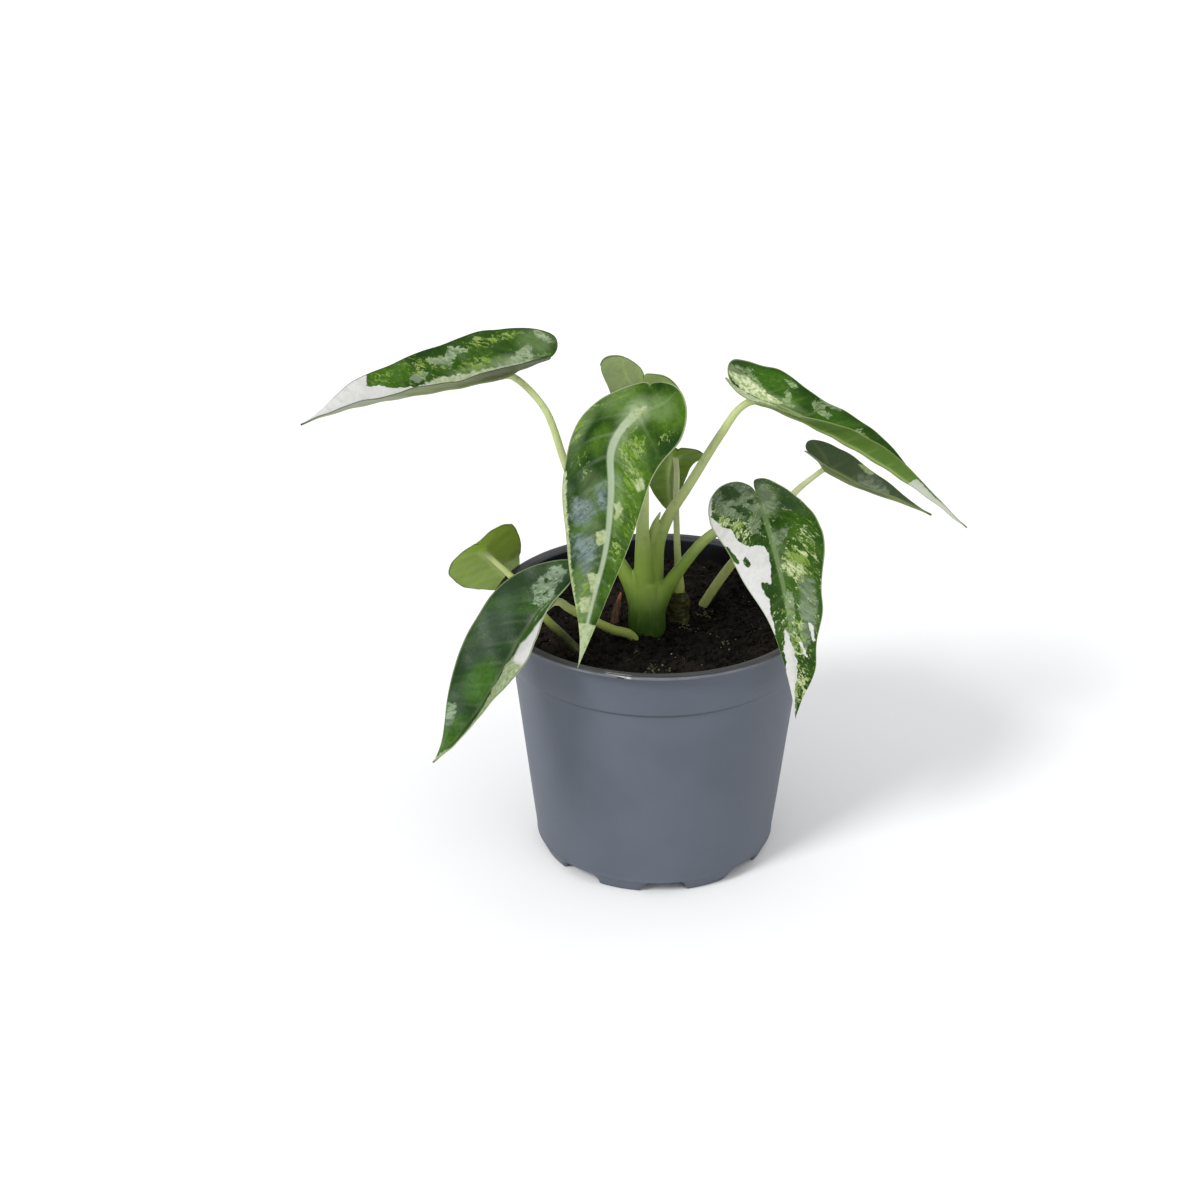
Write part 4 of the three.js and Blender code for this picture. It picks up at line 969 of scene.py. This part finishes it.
# Plain cylinders that cut the drain holes, one between each two notches.
def drain_cutters():
    sides, holes = DRAIN["sides"], []
    angle = 2 * math.pi * np.arange(sides) / sides
    circle = DRAIN["radius"] * np.stack([np.cos(angle), np.sin(angle)], -1)
    for hole in range(NOTCH["count"]):
        a = math.radians(NOTCH["first"] + 360 / NOTCH["count"] * (hole + 0.5))
        centre = DRAIN["ring"] * np.array([[math.cos(a), math.sin(a)]])
        points = np.vstack([np.insert(part, 2, z, axis=1) for part in (centre + circle, centre)
                            for z in (DRAIN["low"], DRAIN["high"])])
        ends = fan(2 * sides, 0, sides, flip=True) + fan(2 * sides + 1, sides, sides)
        holes.append((points, face_list(2, sides) + ends))
    return merged(holes)


# Whether each point lies inside the pot over its floor, its height and its distance from the axis.
def wall_field(mesh):
    place = np.empty(len(mesh.vertices) * 3)
    mesh.vertices.foreach_get("co", place)
    place = (place.reshape(-1, 3) - MIDDLE) * 1000
    radius, height = np.hypot(place[:, 0], place[:, 1]), place[:, 2]
    outside = np.array(POT_PROFILE[FOOT_POINTS:OUTER_POINTS])
    limit = np.interp(height, outside[:, 1], outside[:, 0]) - 0.5
    limit = np.where(height > UNDER_RIM, RIM_INNER, limit)
    inside = (height > FLOOR_TOP - 0.2) & (radius < limit)
    return np.stack([inside, height, radius], -1)


def build_pot():
    piece = mesh_piece("nursery_pot", *pot_shell(), [pot_material()], "pot")
    cutter = new_object("drains", new_mesh("drains", *drain_cutters()))
    cut = piece.modifiers.new("drains", "BOOLEAN")
    cut.operation = "DIFFERENCE"
    cut.solver = "EXACT"
    cut.object = cutter
    apply_modifiers(piece)
    bpy.data.objects.remove(cutter)
    add_field(piece.data, "wall", wall_field(piece.data))
    piece.data.set_sharp_from_angle(angle=math.radians(50))
    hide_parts("pot")


# The soil. SOIL_SIDE is (radius, height) down its side, which the pot hides, to its bottom.
SOIL_LEVEL, SOIL_RISE, SOIL_RADIUS = 91.0, 0.9, 54.0
SOIL_RINGS, SOIL_SEGMENTS = 108, 300
SOIL_SIDE = (53.0, 80.5), (51.3, 77.0), (43.3, 11.0), (42.4, 6.5)


def soil_height(x, y):
    lumps = (math.sin(0.21 * x + 1) * math.cos(0.17 * y) + 0.7 * math.sin(0.11 * x - 0.29 * y + 2)
             + 0.5 * math.cos(0.37 * x + 0.31 * y))
    return SOIL_LEVEL + SOIL_RISE * lumps - 1.2 * (math.hypot(x, y) / 56) ** 4


def rough_height(x, y):
    rough = 0.0
    for scale, size in ((0.12, 1.1), (0.32, 0.9), (0.8, 0.5), (1.9, 0.25)):
        rough += size * noise.noise(Vector((x * scale, y * scale, scale * 9)))
    return soil_height(x, y) + rough


def soil_material():
    t = Tree("peat")
    place = t.position()
    fine = t.noise(place, 1500.0, 4, 0.65)
    lumps = t.noise(place, 380.0, 4, 0.6)
    wide = t.noise(place, 45.0, 3, 0.55)
    colour = t.mix(t.step(lumps, 0.35, 0.7), (0.0026, 0.0023, 0.0019), (0.014, 0.011, 0.0085))
    colour = t.mix(t.step(wide, 0.45, 0.7, 0, 0.6), colour, (0.026, 0.019, 0.014))
    colour = t.mix(t.step(fine, 0.64, 0.74, 0, 0.5), colour, (0.065, 0.047, 0.034))
    return t.finish(Base_Color=colour, Roughness=0.85, Specular_IOR_Level=0.08,
                    Normal=t.bump(t.plus(fine, lumps), 0.0006, 0.8))


def build_soil():
    angles = 2 * math.pi * np.arange(SOIL_SEGMENTS) / SOIL_SEGMENTS
    points = []
    for ring in range(SOIL_RINGS + 1):
        radius = SOIL_RADIUS * (1 - ring / (SOIL_RINGS + 1))
        for a in angles:
            x, y = radius * math.cos(a), radius * math.sin(a)
            points.append((x, y, rough_height(x, y)))
    centre, side = len(points), len(points) + 1
    points.append((0, 0, rough_height(0, 0)))
    faces = face_list(SOIL_RINGS + 1, SOIL_SEGMENTS)
    faces += fan(centre, SOIL_RINGS * SOIL_SEGMENTS, SOIL_SEGMENTS)
    for radius, z in SOIL_SIDE:
        points += [(radius * math.cos(a), radius * math.sin(a), z) for a in angles]
    for s in range(SOIL_SEGMENTS):
        n = (s + 1) % SOIL_SEGMENTS
        faces.append((n, side + n, side + s, s))
    faces += [face[::-1] for face in face_list(len(SOIL_SIDE), SOIL_SEGMENTS, side)]
    lowest = side + (len(SOIL_SIDE) - 1) * SOIL_SEGMENTS
    faces += fan(len(points), lowest, SOIL_SEGMENTS, flip=True)
    points.append((0, 0, SOIL_SIDE[-1][1]))
    piece = mesh_piece("peat_bed", points, faces, [soil_material()], "soil")
    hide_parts("soil")


# What lies on the soil, clear of the stem. MOSS is where each tuft is, its spread and its bits.
STEM_X, STEM_Y, STEM_CLEAR = -3.4, -8.0, 7.6
CRUMBS, FIBRES, GRAINS, FIBRE_KNOTS = 2600, 220, 60, 8
MOSS = (((-1.5, -42.8), 1.8, 26), ((5, -42), 1.2, 10), ((18, 5.7), 1.8, 30), ((10.5, -5), 1.8, 26),
        ((-6.4, -25.9), 1.2, 6), ((23, -16), 3, 16))


def soft_stone(size, squash, sides, rings):
    points = []
    phase = rng.random() * 6
    for ring in range(rings + 1):
        polar = math.pi * ring / rings
        for s in range(sides):
            a = 2 * math.pi * s / sides + 0.5 * ring + phase
            r = size * (0.75 + 0.4 * rng.random())
            wide = r * math.sin(polar)
            points.append((wide * math.cos(a), wide * math.sin(a), r * squash * math.cos(polar)))
    return np.array(points), [face[::-1] for face in face_list(rings + 1, sides)]


def stone_on(spot, lift, size, squash=0.8, sides=5, rings=3):
    points, faces = soft_stone(size, squash, sides, rings)
    return points + (*spot, rough_height(*spot) + lift), faces


def on_soil(reach=SOIL_RADIUS - 1.5, near=None, spread=0.0):
    while True:
        if near is None:
            a, r = rng.random() * 2 * math.pi, reach * math.sqrt(rng.random())
            x, y = r * math.cos(a), r * math.sin(a)
        else:
            x, y = near[0] + rng.gauss(0, spread), near[1] + rng.gauss(0, spread)
        if math.hypot(x, y) < reach and math.hypot(x - STEM_X, y - STEM_Y) > STEM_CLEAR:
            return x, y


# A fibre lies on the soil in a bend and stays inside the wall.
def peat_fibre():
    x, y = on_soil()
    length, turn, bend = 1.5 + 7 * rng.random() ** 2, rng.random() * 2 * math.pi, rng.gauss(0, 0.5)
    line = []
    for knot in range(FIBRE_KNOTS):
        s = knot / (FIBRE_KNOTS - 1) - 0.5
        a = turn + bend * s
        px, py = x + length * s * math.cos(a), y + length * s * math.sin(a)
        limit = min(1, (SOIL_RADIUS - 1) / max(math.hypot(px, py), 1))
        px, py = px * limit, py * limit
        line.append((px, py, rough_height(px, py) + 0.25 + 0.5 * rng.random() * (0.25 - s * s)))
    radius = 0.09 + 0.12 * rng.random()
    return tube(np.array(line), [radius] * FIBRE_KNOTS, 4)


def plain_material(name, first, second, scale, roughness=0.85):
    t = Tree(name)
    texture = t.noise(t.position(), scale, 3, 0.6)
    return t.finish(Base_Color=t.mix(t.step(texture, 0.35, 0.65), first, second), Roughness=roughness,
                    Specular_IOR_Level=0.15)


def build_litter():
    crumbs = []
    for _ in range(CRUMBS):
        spot = on_soil()
        size = 0.35 + 1.1 * rng.random() ** 3
        crumbs.append(stone_on(spot, 0.25 * size, size, squash=0.7, sides=6, rings=4))
    mesh_piece("peat_crumbs", *merged(crumbs), [soil_material()], "soil")
    fibres = [peat_fibre() for _ in range(FIBRES)]
    brown = plain_material("peat_fibre", (0.012, 0.008, 0.005), (0.05, 0.033, 0.022), 300.0)
    mesh_piece("peat_fibres", *merged(fibres), [brown], "soil")
    grit = [stone_on(on_soil(), 0.25, 0.12 + 0.2 * rng.random() ** 2) for _ in range(GRAINS)]
    pale = plain_material("pale_grit", (0.30, 0.27, 0.23), (0.55, 0.52, 0.46), 500.0, 0.7)
    mesh_piece("pale_grit", *merged(grit), [pale], "soil")
    moss = []
    for near, spread, count in MOSS:
        for _ in range(count):
            spot = on_soil(SOIL_RADIUS - 0.8, near, spread)
            moss.append(stone_on(spot, 0.3, 0.25 + 0.3 * rng.random()))
    green = plain_material("moss_green", (0.045, 0.055, 0.02), (0.12, 0.13, 0.065), 700.0)
    mesh_piece("moss_bits", *merged(moss), [green], "soil")


# The corm. Its profile is (radius, height) from its foot up.
CORM_X, CORM_Y, CORM_RINGS, CORM_SIDES = 7.7, 0.2, 44, 40
CORM_PROFILE = [(1.2, 83.4), (2.6, 84), (4, 86), (4.4, 90), (4, 93.5), (4.3, 96.5), (3.9, 99.4), (3, 101.6),
                (2.2, 102.4), (1.6, 102.5)]


def corm_material():
    t = Tree("corm_husk")
    place = t.position()
    lumps = t.noise(place, 240.0, 4, 0.65)
    bands = t.noise(t.stretch(place, 250.0, 250.0, 900.0), 1.0, 4)
    colour = t.mix(t.step(bands, 0.35, 0.65), (0.015, 0.014, 0.004), (0.048, 0.044, 0.013))
    colour = t.mix(t.step(lumps, 0.5, 0.7, 0, 0.8), colour, (0.095, 0.083, 0.03))
    return t.finish(Base_Color=colour, Roughness=0.8, Specular_IOR_Level=0.15,
                    Normal=t.bump(t.plus(lumps, bands), 0.0006, 0.8))


def build_corm():
    corners = np.array(CORM_PROFILE)
    heights = np.linspace(corners[0, 1], corners[-1, 1], CORM_RINGS)
    points = []
    for z, radius in zip(heights, np.interp(heights, corners[:, 1], corners[:, 0])):
        for a in 2 * math.pi * np.arange(CORM_SIDES) / CORM_SIDES:
            spot = Vector((math.cos(a) * 1.6, math.sin(a) * 1.6, z * 0.33))
            r = radius + 0.75 * noise.noise(spot) + 0.3 * noise.noise(spot * 3.1) + 0.12 * math.sin(z * 3.1)
            points.append((CORM_X + r * math.cos(a), CORM_Y + r * math.sin(a), z))
    faces = face_list(CORM_RINGS, CORM_SIDES)
    faces.append(tuple(range(CORM_SIDES))[::-1])
    faces.append(tuple(range(len(points) - CORM_SIDES, len(points))))
    piece = mesh_piece("corm", points, faces, [corm_material()], "corm")
    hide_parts("offset_corm")


# The dry sheath, a papery tube pressed flat. It is rust red over RED_FROM, in metres.
SHEATH_LINE = [(-15.3, -5, 84), (-15, -5, 92), (-14.2, -5, 98), (-12.9, -5, 104)]
SHEATH_RADII = [1.4, 1.7, 1.4, 0.35]
RED_FROM = 0.1


def sheath_material():
    t = Tree("dry_sheath_paper")
    place = t.position()
    veins = t.noise(t.stretch(place, 1500.0, 1500.0, 90.0), 1.0, 4, 0.6)
    colour = t.mix(t.step(veins, 0.35, 0.65), (0.035, 0.02, 0.012), (0.10, 0.052, 0.032))
    colour = t.mix(t.step(t.split(place)[2], RED_FROM, RED_FROM + 0.003), colour, (0.22, 0.08, 0.035))
    return t.finish(Base_Color=colour, Roughness=0.6, Specular_IOR_Level=0.2,
                    Normal=t.bump(veins, 0.0003, 0.7))


def build_dry_sheath():
    line, radii = smooth_line(SHEATH_LINE, SHEATH_RADII, steps=40)
    radii = radii * (1 + 0.08 * np.sin(np.arange(len(radii)) * 0.9))
    points, faces = tube(line, radii, sides=20, flat=0.45, turn=math.radians(20))
    piece = mesh_piece("papery_sheath", points, faces, [sheath_material()], "dry_sheath")
    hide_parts("dry_sheath")


# The camera stands where the photograph was taken from, and the light is soft and from the front left.
CAMERA = dict(lens=82.2, sensor=36, place=(0, -897.26, 539.5), ahead=(-0.02062, 0.89722, -0.44111))
SKY, SKY_STRENGTH, FLOOR_REACH = (0.98, 0.99, 1, 1), 0.77, 30.0
SUNS = (("window", 2.0, 17, (0.64, 0.66, -0.76)), ("front_fill", 0.5, 60, (-0.45, 0.7, -0.6)))


def turn_towards(item, ahead):
    item.rotation_mode = "QUATERNION"
    item.rotation_quaternion = Vector(ahead).to_track_quat("-Z", "Y")


def build_floor():
    mesh = bpy.data.meshes.new("floor")
    corners = [(x * FLOOR_REACH, y * FLOOR_REACH, 0) for x, y in ((-1, -1), (1, -1), (1, 1), (-1, 1))]
    mesh.from_pydata(corners, [], [(0, 1, 2, 3)])
    pale = Tree("pale_floor").finish(Base_Color=(0.9, 0.9, 0.9), Roughness=0.9, Specular_IOR_Level=0.1)
    mesh.materials.append(pale)
    new_object("floor", mesh)


def build_stage():
    scene = bpy.context.scene
    scene.view_settings.view_transform = "Standard"
    camera = new_object("camera", bpy.data.cameras.new("camera"))
    camera.data.lens = CAMERA["lens"]
    camera.data.sensor_width = CAMERA["sensor"]
    camera.data.clip_end = 20
    camera.location = metres(CAMERA["place"])
    turn_towards(camera, CAMERA["ahead"])
    scene.camera = camera
    build_floor()
    world = bpy.data.worlds.new("room")
    world.use_nodes = True
    background = world.node_tree.nodes["Background"]
    background.inputs[0].default_value = SKY
    background.inputs[1].default_value = SKY_STRENGTH
    scene.world = world
    for name, energy, width, ahead in SUNS:
        sun = new_object(name, bpy.data.lights.new(name, "SUN"))
        sun.data.energy = energy
        sun.data.angle = math.radians(width)
        turn_towards(sun, ahead)


build_stage()
build_pot()
build_soil()
build_litter()
build_single_stalks()
build_shoot()
build_corm()
build_dry_sheath()
for leaf_name in LEAVES:
    build_leaf(leaf_name)
